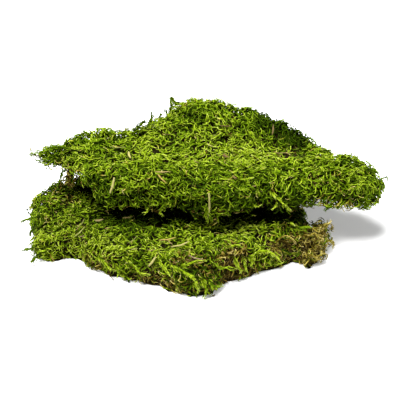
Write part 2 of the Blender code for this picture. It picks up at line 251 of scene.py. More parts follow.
def turned(vectors, axes, angles):
    """Each vector turned about its own axis, at right angles to it, by its own angle."""
    across = np.cross(axes, vectors)
    return vectors * np.cos(angles)[:, None] + across * np.sin(angles)[:, None]


def along_surface(vectors, normals):
    """Each vector with its part along the normal taken off, scaled to a length of one."""
    return unit(vectors - normals * (vectors * normals).sum(1, keepdims=True))


def creep(skin, start, heading, length, bend, curl, low_end, high_end, rings, hold):
    """Middle lines of shoots that creep over a mat, one row of points each.

    Every step goes ahead by an equal part of the length. The shoot then turns about the mat's normal by bend
    + curl·sin(2πt), and is drawn by its share hold, by 1.5 steps at most, towards the height that rises from
    low_end at its root to high_end at its tip as 1 - (1 - t)^2.5, with t the part of the length behind it.
    """
    lines = np.empty((len(start), rings, 3))
    place, ahead = start.copy(), heading.copy()
    step = (length / (rings - 1))[:, None]
    most = 1.5 * step
    for ring in range(rings):
        lines[:, ring] = place
        t = (ring + 1) / (rings - 1)
        place = place + ahead * step
        height, outward, near = skin.read(place)
        wish = low_end + (high_end - low_end) * (1 - max(0.0, 1 - t) ** 2.5)
        pull = np.where(near, (wish - height) * hold, 0)[:, None]
        place = place + outward * np.clip(pull, -most, most)
        ahead = turned(ahead, outward, bend + curl * math.sin(2 * math.pi * t))
        flat = along_surface(ahead, outward)
        ahead = unit(ahead + (flat - ahead) * np.where(near, hold, 0)[:, None])
    return lines


def inside_box(lines):
    """The lines kept within the CAD box and a small margin, and clear of the ground.

    Where a point lies at the share x of the way from the box's middle to a side, and x is over e, the share
    becomes 1 - (1 - e)·exp((e - x) / (1 - e)). Heights are cut off at the box instead.
    """
    low, high = (np.array(corner) for corner in CAD_BOX)
    low, high = low - BOX_MARGIN, high + BOX_MARGIN
    low[2] = GROUND_CLEARANCE
    middle, half = (low + high) / 2, (high - low) / 2
    away = (lines - middle) / half
    over = np.maximum(np.abs(away) - EASE_FROM, 0)
    room = 1 - EASE_FROM
    eased = np.minimum(np.abs(away), EASE_FROM) + room * (1 - np.exp(-over / room))
    eased[..., 2] = np.clip(np.abs(away[..., 2]), 0, 1)
    return middle + np.sign(away) * eased * half


def leafy_tubes(lines, radii, shade):
    """Closed three-sided tubes round the lines, each ring turned by 60°, so that edges stand like leaves.

    Ring k of a tube lies at its line's point k, at angle 60k + 120j for its corner j. A point closes each
    end, one radius before the root and 1.6 after the tip. The shade map's U is the part of the length, and
    its V is the shoot's shade, a little less or more for two of a ring's corners. Returns corners, faces and
    one map place for each face corner.
    """
    count, rings = lines.shape[:2]
    ahead = np.empty_like(lines)
    ahead[:, 1:-1] = lines[:, 2:] - lines[:, :-2]
    ahead[:, 0], ahead[:, -1] = lines[:, 1] - lines[:, 0], lines[:, -1] - lines[:, -2]
    ahead = unit(ahead)
    side = unit(np.cross(ahead, ASKEW_UP) + 1e-6)
    rise = np.cross(side, ahead)
    angle = math.pi / 3 * np.arange(rings)[:, None] + 2 * math.pi / 3 * np.arange(3)[None, :]
    angle = angle[None, :, :, None]
    ring = side[:, :, None] * np.cos(angle) + rise[:, :, None] * np.sin(angle)
    walls = lines[:, :, None] + ring * radii[:, :, None, None]
    root_end = lines[:, 0] - ahead[:, 0] * radii[:, :1]
    tip_end = lines[:, -1] + ahead[:, -1] * radii[:, -1:] * 1.6
    corners = np.concatenate([walls.reshape(count, -1, 3), np.stack([root_end, tip_end], 1)], 1)

    faces = []
    for k in range(rings - 1):
        a, b = 3 * k, 3 * k + 3
        for j in range(3):
            following = (j + 1) % 3
            faces += [(a + j, a + following, b + j), (a + following, b + following, b + j)]
    root, tip, last = 3 * rings, 3 * rings + 1, 3 * rings - 3
    for j in range(3):
        following = (j + 1) % 3
        faces += [(following, j, root), (last + j, last + following, tip)]
    faces = np.array(faces)

    along = np.concatenate([np.repeat(np.linspace(MAP_RING, 1 - MAP_RING, rings), 3), [MAP_END, 1 - MAP_END]])
    around = np.concatenate([np.tile([-1.0, 0.0, 1.0], rings), [0.0, 0.0]]) * RING_SPREAD
    every_face = (faces[None] + np.arange(count)[:, None, None] * corners.shape[1]).reshape(-1, 3)
    map_u = np.broadcast_to(along, (count, len(along)))
    map_v = np.clip(shade[:, None] + around, MAP_END, 1 - MAP_END)
    places = np.stack([map_u, map_v], -1).reshape(-1, 2)
    return corners.reshape(-1, 3), every_face, places[every_face].reshape(-1, 2)


def shoot_profile(rings, radius, taper, ripple):
    """Radii along shoots: radius·(0.55 + 0.45s)(1 - taper·t^2.2), with every other ring wider.

    Here t is the part of the length behind, and s rises smoothly from 0 at the root to 1 where t is 0.35. Odd
    rings are wider by the share ripple, and even ones are as much narrower.
    """
    t = np.linspace(0, 1, rings)
    body = (0.55 + 0.45 * smooth(t, 0, 0.35)) * (1 - taper * t**2.2)
    leaves = 1 + ripple * np.where(np.arange(rings) % 2, 1.0, -1.0)
    return radius[:, None] * body * leaves


def join_parts(parts):
    """Several sets of corners, faces and map places as one."""
    starts = np.cumsum([0] + [len(corners) for corners, _, _ in parts[:-1]])
    corners = np.concatenate([part[0] for part in parts])
    faces = np.concatenate([part[1] + start for part, start in zip(parts, starts)])
    return corners, faces, np.concatenate([part[2] for part in parts])


def smooth_path(points_mm, count):
    """This many points on a smooth curve through the given ones, which are in millimetres.

    Between b and c the curve is half of 2b + (c - a)t + (2a - 5b + 4c - d)t² + (3b - a - 3c + d)t³, where a
    and d are the points before and after and t goes from 0 to 1.
    """
    points = np.array(points_mm, float) * MM
    points = np.concatenate([2 * points[:1] - points[1:2], points, 2 * points[-1:] - points[-2:-1]])
    place = np.linspace(0, len(points) - 3 - 1e-9, count)
    first = place.astype(int)
    t = (place - first)[:, None]
    a, b, c, d = (points[first + k] for k in range(4))
    return 0.5 * (2 * b + (c - a) * t + (2 * a - 5 * b + 4 * c - d) * t**2 + (3 * b - a - 3 * c + d) * t**3)


def leafy_strand(path_mm, rng, copies, loose, sides, side_length, width, shade):
    """Batches of shoots that make one long strand: main shoots along a path, with side shoots.

    A main shoot is the path plus loose·(0.3 + 0.7t) times three sine waves. Side shoots leave it at 29° to
    63° all round, and bend forward and down as the square of the part of their length behind. The further out
    they start, the shorter they are.
    """
    rings, side_rings = 14, 6
    t = np.linspace(0, 1, rings)
    path = smooth_path(path_mm, rings)
    waves = rng.normal(size=(copies, 3, 3)) / np.arange(1, 4)[None, :, None]
    phases = rng.uniform(0, 2 * math.pi, (copies, 3))
    swing = np.sin(2 * math.pi * np.arange(1, 4)[None, :, None] * t[None, None] * 0.8 + phases[..., None])
    drift = np.einsum("cwx,cwt->ctx", waves, swing)
    mains = path[None] + loose * MM * (0.3 + 0.7 * t)[None, :, None] * drift
    radius = np.full(copies, width * MM / 2) * rng.uniform(0.8, 1.15, copies)
    shades = np.clip(shade + rng.normal(0, 0.05, copies), *ALL_SHADES)
    batches = [(inside_box(mains), shoot_profile(rings, radius, 0.6, 0.16), shades)]
    if sides:
        number = copies * sides
        along = np.tile((np.arange(sides) + 0.7) / (sides + 0.4), copies)
        which = np.repeat(np.arange(copies), sides)
        at = np.clip((along * (rings - 1)).astype(int), 0, rings - 2)
        root = mains[which, at]
        ahead = unit(mains[which, at + 1] - root)
        aside = along_surface(rng.normal(size=(number, 3)), ahead)
        angle = rng.uniform(0.5, 1.1, number)[:, None]
        leave = ahead * np.cos(angle) + aside * np.sin(angle)
        length = side_length * MM * rng.uniform(0.6, 1.2, number) * (1 - 0.5 * along)
        u = np.linspace(0, 1, side_rings)[None, :, None]
        onward = ahead[:, None] * 0.45 * u**2 + np.array([0, 0, -0.25]) * u**2
        lines = root[:, None] + length[:, None, None] * (leave[:, None] * (u - 0.25 * u**2) + onward)
        radius = 0.78 * width * MM / 2 * rng.uniform(0.8, 1.2, number)
        tone = np.clip(shade + 0.04 + rng.normal(0, 0.06, number), *ALL_SHADES)
        batches.append((inside_box(lines), shoot_profile(side_rings, radius, 0.6, 0.12), tone))
    return batches


def tubes_of(batches):
    """All batches' tubes as one set of corners, faces and map places."""
    return join_parts([leafy_tubes(*batch) for batch in batches])


def bent_line(start, end, bend, wave, rings):
    """Points from start to end, pushed aside by bend·sin(πt) and up by wave·sin(3πt)."""
    t = np.linspace(0, 1, rings)[:, None]
    along = unit(end - start)
    aside = unit(np.cross(along, NEARLY_UP))
    up = np.cross(aside, along)
    line = start + (end - start) * t
    return line + aside * bend * np.sin(math.pi * t) + up * wave * np.sin(3 * math.pi * t)


def map_places(*trios):
    """One place on the map for each corner of a set of triangles, from the U and V of its corners in turn."""
    return np.stack([np.stack(np.broadcast_arrays(u, v), 1) for u, v in trios], 1)


def rod(line, width, depth, sides, ridge, cup, band=(MAP_END, 1 - MAP_END)):
    """A closed rod, blade or scale along a line.

    Ring k stands at the line's point k. With a = 2πj / sides, its corner j is width·cos(a) aside and
    depth·sin(a) up, both times 1 + ridge·cos(5a), and is lowered by cup·width·cos²(a). The map's U runs along
    the rod, and its V runs round it within the band. A point closes each end.
    """
    rings = len(line)
    ahead = unit(np.gradient(line, axis=0))
    aside = unit(np.cross(ahead, NEARLY_UP))
    up = np.cross(aside, ahead)
    angle = 2 * math.pi * np.arange(sides + 1) / sides
    swell = 1 + ridge * np.cos(5 * angle)
    across = (width[:, None] * (np.cos(angle) * swell)[None])[..., None] * aside[:, None]
    dip = cup * width[:, None] * (np.cos(angle) ** 2)[None]
    above = depth[:, None] * (np.sin(angle) * swell)[None] - dip
    walls = line[:, None] + across + above[..., None] * up[:, None]
    ends = np.stack([line[0] - ahead[0] * 0.4 * depth[0], line[-1] + ahead[-1] * 0.4 * depth[-1]])
    corners = np.concatenate([walls[:, :sides].reshape(-1, 3), ends])

    every = np.meshgrid(np.arange(rings - 1), np.arange(sides), indexing="ij")
    ring, side = (part.ravel() for part in every)
    following = (side + 1) % sides
    low, high = ring * sides, (ring + 1) * sides
    u = np.linspace(MAP_RING, 1 - MAP_RING, rings)
    v = band[0] + (band[1] - band[0]) * np.arange(sides + 1) / sides
    near, far, left, right = u[ring], u[ring + 1], v[side], v[side + 1]
    faces = [np.stack([low + side, low + following, high + side], 1),
             np.stack([low + following, high + following, high + side], 1)]
    places = [map_places((near, left), (near, right), (far, left)),
              map_places((near, right), (far, right), (far, left))]
    side = np.arange(sides)
    following = (side + 1) % sides
    last = (rings - 1) * sides
    root, tip = np.full(sides, rings * sides), np.full(sides, rings * sides + 1)
    faces += [np.stack([following, side, root], 1), np.stack([last + side, last + following, tip], 1)]
    middle = (v[:-1] + v[1:]) / 2
    places += [map_places((u[0], v[1:]), (u[0], v[:-1]), (MAP_END, middle)),
               map_places((u[-1], v[:-1]), (u[-1], v[1:]), (1 - MAP_END, middle))]
    return corners, np.concatenate(faces), np.concatenate(places).reshape(-1, 2)


def add_piece(name, corners, faces, places, material, slot, even=True):
    """A new object with this mesh and its shade map, which rides on the clump's one body."""
    mesh = bpy.data.meshes.new(name)
    mesh.vertices.add(len(corners))
    mesh.vertices.foreach_set("co", corners.astype(np.float32).ravel())
    mesh.loops.add(faces.size)
    mesh.loops.foreach_set("vertex_index", faces.astype(np.int32).ravel())
    mesh.polygons.add(len(faces))
    mesh.polygons.foreach_set("loop_start", np.arange(0, faces.size, 3, dtype=np.int32))
    if places is not None:
        shade_map = mesh.uv_layers.new(name=SHADE_MAP)
        shade_map.data.foreach_set("uv", places.astype(np.float32).ravel())
    mesh.polygons.foreach_set("use_smooth", np.full(len(faces), even))
    mesh.update(calc_edges=True)
    mesh.validate()
    mesh.materials.append(material)
    piece = bpy.data.objects.new(name, mesh)
    bpy.context.scene.collection.objects.link(piece)
    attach(piece, "root")
    return piece


# --------------------------------------------------------------------------------------------------
# Finishes


class Finish:
    """Builds one node material, a node at a time."""

    def __init__(self, name, roughness=0.6, specular=0.35):
        self.material = bpy.data.materials.new(name)
        self.material.use_nodes = True
        self.tree = self.material.node_tree
        self.shader = self.tree.nodes["Principled BSDF"]
        self.shader.inputs["Roughness"].default_value = roughness
        self.shader.inputs["Specular IOR Level"].default_value = specular

    def node(self, kind, inputs=None, **settings):
        """A node with these settings, whose inputs are values or other nodes' outputs."""
        made = self.tree.nodes.new("ShaderNode" + kind)
        for key, value in settings.items():
            setattr(made, key, value)
        for key, value in (inputs or {}).items():
            self.plug(value, made.inputs[key])
        return made

    def plug(self, value, socket):
        """Sets a socket to a value, or links another node's output to it."""
        if isinstance(value, bpy.types.NodeSocket):
            self.tree.links.new(value, socket)
        else:
            socket.default_value = value

    def ramp(self, factor, stops):
        """A colour ramp with these (place, colour) stops, driven by factor."""
        made = self.node("ValToRGB", {"Fac": factor})
        elements = made.color_ramp.elements
        while len(elements) < len(stops):
            elements.new(0.5)
        for element, (place, colour) in zip(elements, stops):
            element.position = place
            element.color = (*colour, 1)
        return made.outputs["Color"]

    def math(self, operation, first, second=0.0, third=0.0):
        """One sum of two or three numbers."""
        made = self.node("Math", operation=operation)
        for socket, value in zip(made.inputs, (first, second, third)):
            self.plug(value, socket)
        return made.outputs[0]

    def mix(self, factor, first, second, kind="MIX"):
        """Two colours mixed by a factor."""
        made = self.node("Mix", {"Factor": factor}, data_type="RGBA", blend_type=kind)
        colours = [socket for socket in made.inputs if socket.type == "RGBA"]
        self.plug(first, colours[0])
        self.plug(second, colours[1])
        return [socket for socket in made.outputs if socket.type == "RGBA"][0]

    def times(self, *colours):
        """Colours multiplied with each other."""
        result = colours[0]
        for colour in colours[1:]:
            result = self.mix(1.0, result, colour, "MULTIPLY")
        return result

    def shade_map(self):
        """The place on the piece's own map, and its U and V."""
        place = self.node("UVMap", uv_map=SHADE_MAP).outputs["UV"]
        parts = self.node("SeparateXYZ", {"Vector": place}).outputs
        return place, parts["X"], parts["Y"]

    def noise(self, place, scale, detail, stretch=(1, 1, 1), roughness=0.5):
        """Noise at these places, after they are stretched, with this many grains to a unit."""
        placed = self.node("Mapping", {"Vector": place, "Scale": stretch}).outputs["Vector"]
        settings = {"Vector": placed, "Scale": scale, "Detail": detail, "Roughness": roughness}
        return self.node("TexNoise", settings).outputs["Fac"]

    def bump(self, height, distance):
        """Lifts the surface in the shading by height times a distance in metres."""
        made = self.node("Bump", {"Height": height, "Distance": distance})
        self.plug(made.outputs["Normal"], self.shader.inputs["Normal"])

    def colour(self, value):
        """Sets the shader's colour."""
        self.plug(value, self.shader.inputs["Base Color"])
        return self


# painted light and shade along a shoot: tuft waves and leaf waves
TUFT_WAVES = 6.5  # light and dark pairs along a shoot
LEAF_WAVES = 16


def moss_finish(look):
    """Colour of all that grew: the shade map's V picks the shade, and its U runs from dark root to light tip.

    V runs from dark dead brown (0.02) through straw (0.24), pale straw (0.32) and olive (0.39) to deep green
    (0.44), and on to the brightest green (0.98), whose extra blue is partly a painted highlight. A dead
    shoot's root is less green than a living one's. The dark root and pale, bluer tip are partly the shoot's
    own colour, partly painted shade and a painted highlight. The light is 0.92 + 0.17·sin(tuft waves) +
    0.07·sin(leaf waves): painted light and shade, which darkens the gaps between leaves.
    """
    finish = Finish("moss_green", roughness=0.55, specular=look.sheen)
    _, along, shade = finish.shade_map()
    brown, straw, deep, middle, bright = (np.array(c) for c in (
        look.dead_brown, look.dry_straw, look.deep_green, look.middle_green, look.bright_green))
    shades = finish.ramp(shade, [
        (0.02, tuple(0.25 * brown)),
        (0.12, tuple(brown)),
        (0.24, tuple(straw)),
        (0.32, tuple(straw * np.array([1.45, 1.50, 2.0]))),
        (0.39, tuple(0.35 * straw + 0.55 * middle)),
        (0.44, tuple(0.72 * deep)),
        (0.48, tuple(deep)),
        (0.66, tuple(middle)),
        (0.84, tuple(bright)),
        # extra blue at the brightest stop: partly a painted highlight
        (0.98, tuple(bright * np.array([1.25, 1.2, 2.2]))),
    ])
    # dark root and pale, bluer tip: partly the shoot's own colour, partly painted shade low down and a
    # painted highlight at the tip
    growth = finish.ramp(along, [
        (0.00, (0.02, 0.02, 0.002)),
        (0.25, (0.13, 0.16, 0.01)),
        (0.55, (0.55, 0.64, 0.10)),
        (0.82, (0.96, 0.98, 0.50)),
        (1.00, (1.04, 1.03, 1.30)),
    ])
    # the same for dead shoots: partly their own colour, partly painted shade and a painted highlight
    withered = finish.ramp(along, [
        (0.00, (0.04, 0.035, 0.004)),
        (0.25, (0.18, 0.17, 0.02)),
        (0.55, (0.62, 0.61, 0.24)),
        (0.82, (1.00, 0.99, 0.72)),
        (1.00, (1.12, 1.13, 1.45)),
    ])
    growth = finish.mix(finish.math("GREATER_THAN", shade, WITHERED_BELOW), withered, growth)
    tufts, leaves = (finish.math("SINE", finish.math("MULTIPLY", along, 2 * math.pi * waves))
                     for waves in (TUFT_WAVES, LEAF_WAVES))
    # painted light and shade along the shoot, darkest in the gaps between leaves
    light = finish.math("MULTIPLY_ADD", leaves, 0.07, finish.math("MULTIPLY_ADD", tufts, 0.17, 0.92))
    light = finish.node("CombineColor", {"Red": light, "Green": light, "Blue": light}).outputs[0]
    finish.colour(finish.times(shades, growth, light))
    finish.bump(leaves, 0.06 * MM)
    return finish.material


def thatch_finish(look):
    """Old growth under the shoots: near black, with fibres of brown and a little green."""
    finish = Finish("moss_thatch", roughness=0.9, specular=0.05)
    place = finish.node("TexCoord").outputs["Object"]
    fibres = finish.noise(place, 460, 6, stretch=(1, 1, 2.4), roughness=0.7)
    patches = finish.noise(place, 70, 3, roughness=0.6)
    brown = np.array(look.dead_brown)
    colours = finish.ramp(fibres, [(0.36, tuple(0.04 * brown)), (0.54, tuple(0.09 * brown)),
                                   (0.66, tuple(0.20 * brown)), (0.78, tuple(0.48 * brown))])
    green = finish.ramp(patches, [(0.42, (1, 1, 0.7)), (0.62, (0.55, 0.85, 0.30))])
    finish.colour(finish.times(colours, green))
    finish.bump(fibres, 1.5 * MM)
    return finish.material


def litter_finish(name, light, dark):
    """Dry plant matter: streaks along the piece between a light and a dark colour, with darker ends."""
    finish = Finish(name, roughness=0.6, specular=0.2)
    place, along, _ = finish.shade_map()
    streaks = finish.noise(place, 1.0, 5, stretch=(2.2, 13, 1), roughness=0.65)
    blots = finish.noise(place, 7.0, 3)
    between = tuple((np.array(light) + np.array(dark)) / 2)
    colours = finish.ramp(streaks, [(0.36, dark), (0.52, between), (0.66, light)])
    worn = finish.ramp(blots, [(0.38, (0.68, 0.64, 0.55)), (0.55, (1, 1, 1))])
    ends = finish.ramp(along, [(0.0, (0.35, 0.32, 0.25)), (0.16, (1, 1, 1)),
                               (0.86, (1, 1, 1)), (1.0, (0.45, 0.40, 0.30))])
    finish.colour(finish.times(colours, worn, ends))
    finish.bump(streaks, 0.15 * MM)
    return finish.material


def fleck_finish(colours):
    """Small litter of mixed kinds: the shade map's V picks the kind's colour, and streaks run along U."""
    finish = Finish("litter_mixed", roughness=0.65, specular=0.15)
    place, _, kind = finish.shade_map()
    middles = (np.arange(len(colours)) + 0.5) / len(colours)
    kinds = finish.ramp(kind, list(zip(middles, colours)))
    streaks = finish.noise(place, 1.0, 4, stretch=(3, 90, 1))
    worn = finish.ramp(streaks, [(0.38, (0.50, 0.45, 0.38)), (0.62, (1, 1, 1))])
    finish.colour(finish.times(kinds, worn))
    finish.bump(streaks, 0.1 * MM)
    return finish.material


# --------------------------------------------------------------------------------------------------
# Where the moss grows


DEAD_PATCHES_MM = (
    # x, y, z, radius, share of dead shoots at its middle, their shade
    (81, -37, 15, 11.5, 0.90, 0.185),
    (86, -26, 15, 11, 0.80, 0.185),
    (85, -40, 8, 10, 0.65, 0.17),
    (68, -46, 8, 8, 0.60, 0.16),
    (50.5, -41, 16, 3.6, 0.70, 0.26),
    # near-black shoots in the hollow under the arch, darkened partly as painted shade
    (57, -37, 13, 3.5, 0.90, 0.04),
    (52, -44, 12, 4, 0.70, 0.22),
    (13, -61, 18.5, 5, 0.65, 0.16),
    (21, -56, 19, 5.5, 0.85, 0.15),
    (27, -54, 17.5, 4, 0.60, 0.15),
    # near-black dead roots at the front foot, darkened partly as painted shadow
    (18, -65, 9, 7.5, 0.85, 0.05),
    (34, -57.5, 6.5, 5, 0.85, 0.13),
    (7, -77, 10, 5, 0.50, 0.05),
    (-7, -63, 18, 4, 0.30, 0.20),
    (-18, -58, 20, 3, 0.45, 0.20),
    (-12, -61, 18, 4.5, 0.60, 0.29),
    (-2.5, -70, 18, 3.5, 0.50, 0.22),
    (-27, -72.5, 5, 5, 0.85, 0.20),
    (-19, -79, 4, 5, 0.92, 0.24),
    (-35, -68, 6, 3.5, 0.80, 0.05),
    (-46, -65, 5, 4, 0.35, 0.08),
    (-69, -55, 7, 5, 0.75, 0.17),
    (-83, -48, 8, 3.5, 0.45, 0.20),
    (-115, -10, 24, 5, 0.25, 0.22),
    (-88, -21, 18, 2.5, 0.50, 0.22),
    (-97, -29, 13, 3, 0.40, 0.18),
    (57, 28, 49, 4, 0.40, 0.32),
    (15, 12, 57, 2.5, 0.45, 0.18),
    (20, -14, 56, 2.2, 0.50, 0.30),
    (12, 41, 64, 5, 0.09, 0.24),
    (52, 44, 58, 6, 0.03, 0.14),
    (73.4, -8.6, 55.5, 2.5, 0.35, 0.25),
    (80.3, -12.8, 54, 3, 0.40, 0.22),
    (92, -8, 54, 2.5, 0.30, 0.25),
    (-96, 25, 54, 6, 0.10, 0.26),
    (-101, 18, 33, 8, 0.55, 0.24),
    (99, -22, 39, 4.5, 0.45, 0.22),
    (-42, -18, 50, 4, 0.10, 0.24),
    (30, 78, 34, 12, 0.28, 0.18),
    (-48, 62, 30, 14, 0.26, 0.16),
    (78, 52, 38, 12, 0.24, 0.20),
    (-8, 82, 22, 10, 0.32, 0.14),
    (-105, 42, 20, 12, 0.24, 0.18),
)
BARE_SPOTS_MM = (
    # x, y, z, radius, share of the shoots that are missing, or that come on top where it is below 0
    (55.5, -37.5, 16, 4.2, 0.95),
    (62, -37, 13, 3.0, 0.60),
    (-12.5, -71, 17, 3.4, 0.92),
    (-26, 70, 69, 6, 0.80),
    (-45, 52, 61, 7, 0.45),
    (-119, 26, 50, 7, 0.55),
    (17, -66, 8.5, 7, 0.66),
    (83, -34, 14, 11, 0.45),
    # fewer shoots, so that the dark thatch shows: painted shadow under the lip
    (-40, -22, 21, 9, 0.50),
    (33, -58, 5, 5, 0.50),
    (-28, -73, 4, 4, 0.30),
    (-35, -68, 6, 3.5, 0.75),
    (-101, 17, 34, 8, 0.60),
    (-60, 10, 40, 6, 0.30),
    (44, 56, 62, 9, -0.50),
    (60, 48, 58, 9, -0.50),
    (75, 38, 55, 9, -0.45),
    (88, 28, 55, 9, -0.20),
    (72, 31, 50, 6, -0.70),
    (107, -20, 38, 8, -0.80),
    (117, -16, 39, 6, -0.80),
)
PAINTED_SHADE_AND_GROWTH_MM = (
    # x, y, z, radius, how much lighter; mostly painted light and shade, partly lighter and darker growth
    (24, 28, 57, 17, 0.17),
    (56, 14, 54, 18, 0.08),
    (-40, 10, 52, 24, 0.03),
    (-38, 28, 58, 16, 0.10),
    (2, 22, 58, 12, 0.05),
    (-78, 22, 56, 20, 0.03),
    (-74, 4, 50, 14, -0.11),
    (-10, 48, 68, 8, -0.07),
    (-103, 20, 46, 9, 0.18),
    (-88, 12, 46, 9, 0.06),
    (-71, -16, 37, 8, -0.10),
    # painted shade deep in the gap under the upper mat
    (-64, -4, 18, 11, -0.18),
    (76, 50, 60, 18, -0.06),
    (92, -2, 56, 10, 0.08),
    (110, -8, 54, 10, 0.04),
    # painted shade on the rear-right slope, which is turned away from the light
    (44, 52, 63, 8, -0.15),
    (53, 44, 58, 8, -0.24),
    (63, 41, 58, 8, -0.22),
    (73, 33, 56, 7, -0.15),
    (30, 48, 65, 12, -0.05),
    (-25, 42, 63, 10, 0.09),
    (0, 55, 70, 20, 0.02),
    # painted shade on the lip's front, which faces down and away from the light
    (5, -24, 52, 12, -0.05),
    (-2, -28, 42, 9, -0.09),
    (-9, -28, 34, 7, -0.18),
    (10, -31, 43, 9, -0.07),
    (34, -27, 39, 11, -0.20),
    (60, -22, 38, 12, -0.17),
    (80, -21, 46, 14, -0.09),
    (106, -18, 44, 12, -0.05),
    (-42, -23, 38, 10, 0.09),
    (-33, -27, 35, 8, 0.12),
    (60, -24, 36, 9, 0.06),
    # painted shadow of the lip on the lower mat
    (-34, -23, 21.5, 11, -0.28),
    (-54, -20, 21, 9, -0.20),
    (0, -44, 21, 24, 0.03),
    (-36, -40, 22, 8, 0.06),
    (-20, -55, 20, 16, 0.05),
    (-10, -57, 19, 9, -0.06),
    (-95, -30, 18, 26, 0.03),
    (-90, -46, 12, 18, 0.14),
    (-68, -52, 14, 11, 0.14),
    (-119, -38, 10, 8, 0.10),
    (-116, -14, 26, 8, 0.06),
    (-30, -46, 23, 12, 0.05),
    # painted light that lifts the lip's shadow on the lower mat
    (26, -24, 19, 12, 0.28),
    (65, -33, 20, 7, 0.14),
    # painted shade deep in the gap under the upper mat
    (32, -6, 19, 7, -0.28),
    (50, -8, 20, 8, -0.28),
    (48, -24, 20, 8, 0.08),
    (-24, -38, 21, 9, 0.08),
    (68, -7, 20, 8, -0.25),
    (-4, -24, 19, 8, 0.12),
    (-6, -74, 16, 10, -0.22),
    (36, -52, 14, 8, 0.03),
    (-5, -80, 10, 10, 0.05),
    (-20, -66, 16, 7, -0.05),
    (12, -70, 9, 11, -0.11),
)
FINE_SPOTS_MM = (
    # x, y, z, radius, share by which the shoots are shorter and thinner
    (-92, -18, 18, 24, 0.26),
    (-15, -46, 21, 22, 0.10),
    (-5, -68, 15, 12, 0.10),
    (28, 20, 58, 16, 0.10),
    (-70, -38, 20, 18, 0.15),
    (82, -34, 15, 14, 0.16),
    (60, -38, 15, 8, 0.20),
    (-112, 22, 50, 12, 0.25),
    (-28, 68, 68, 9, 0.30),
    (-45, 52, 60, 9, 0.25),
    (104, -6, 48, 20, 0.12),
)
DENTS_MM = (
    # x, y, z, radius, push in x, y and z
    (18, -66, 10, 6, 0.0, 0.8, 0.2),
    (32, -60, 4, 6, 0.0, 1.6, 0.0),
    (3, 50, 72, 8, 0.0, 0.0, 1.2),
    (98, 4, 57, 8, 0.0, 0.0, 1.8),
    (-26, 70, 68, 7, 1.5, -2.5, -5.0),
    (-45, 51, 61, 6, 0.0, -0.8, -1.8),
    (-54, 46, 58, 5, 0.0, 0.0, -1.0),
    (64, 46, 59, 7, 0.0, 1.0, 2.8),
    (78, 31, 57, 9, 0.0, -1.0, -3.0),
    (123, -3, 52, 8, -3.0, 0.0, -0.6),
    (-12.5, -71, 18, 3.4, 0.0, 3.0, -3.4),
    (113, -19, 37, 8, 0.6, -0.6, -2.6),
    (14, -31, 38, 9, 0.0, 1.0, 2.2),
    (-34, -27, 37, 9, 0.0, -0.6, -2.6),
    (120, -14, 43, 7, 1.8, -0.3, -0.8),
    (78, -19, 23, 8, -0.5, 0.0, -4.2),
    (78, -50, 5, 6, 0.0, 2.0, 0.6),
    (55.5, -37.5, 17, 4.2, 0.0, 2.8, -4.8),
    (-125, -12, 14, 9, 2.2, 0.0, 0.0),
    (-63, -61, 4, 6, 0.4, 2.4, 0.0),
    (-28, -74, 4, 5, 0.0, 1.4, 0.0),
    (-19, -80, 4, 4, 0.0, -1.2, 0.0),
    (67, -45, 4, 6, 0.0, 2.0, 0.0),
    (-119, 26, 49, 7, 0.0, 0.0, 0.6),
)
PLAN_SQUARE = 3 * MM


def spot_weights(points, table):
    """For every point and spot, the spot's value times exp(-d² / 2r²), with d the distance to the spot."""
    gap = ((points[:, None] - table[None, :, :3] * MM) ** 2).sum(-1)
    return table[:, 4] * np.exp(-gap / (2 * (table[:, 3] * MM) ** 2))


def spots(points, table):
    """For every point, the sum of the spots' weights."""
    return spot_weights(points, np.array(table, float)).sum(1)


def dented(points):
    """Points pushed by the sum of every dent's push times exp(-d² / 2r²), with d the distance to the dent."""
    pushed = points.copy()
    for x, y, z, radius, *push in DENTS_MM:
        gap = ((points - np.array([x, y, z]) * MM) ** 2).sum(-1, keepdims=True)
        pushed += np.array(push) * MM * np.exp(-gap / (2 * (radius * MM) ** 2))
    return pushed


def floor_plan(points):
    """A flat grid of squares over these points: a function from places to squares, and the grid's size."""
    low = points[:, :2].min(0) - 3 * PLAN_SQUARE
    size = np.ceil((points[:, :2].max(0) - low) / PLAN_SQUARE).astype(int) + 4

    def square_of(places):
        at = np.clip(np.floor((places[..., :2] - low) / PLAN_SQUARE).astype(int), 0, size - 1)
        return at[..., 0], at[..., 1]

    return square_of, size


def lower_cover(upper):
    """Lowest height of the upper mat over a flat grid of squares, as a function of x and y."""
    points, _, _ = upper.even_points()
    square_of, size = floor_plan(points)
    under = np.full(size, np.inf)
    np.minimum.at(under, square_of(points), points[:, 2])
    return lambda places: under[square_of(places)]


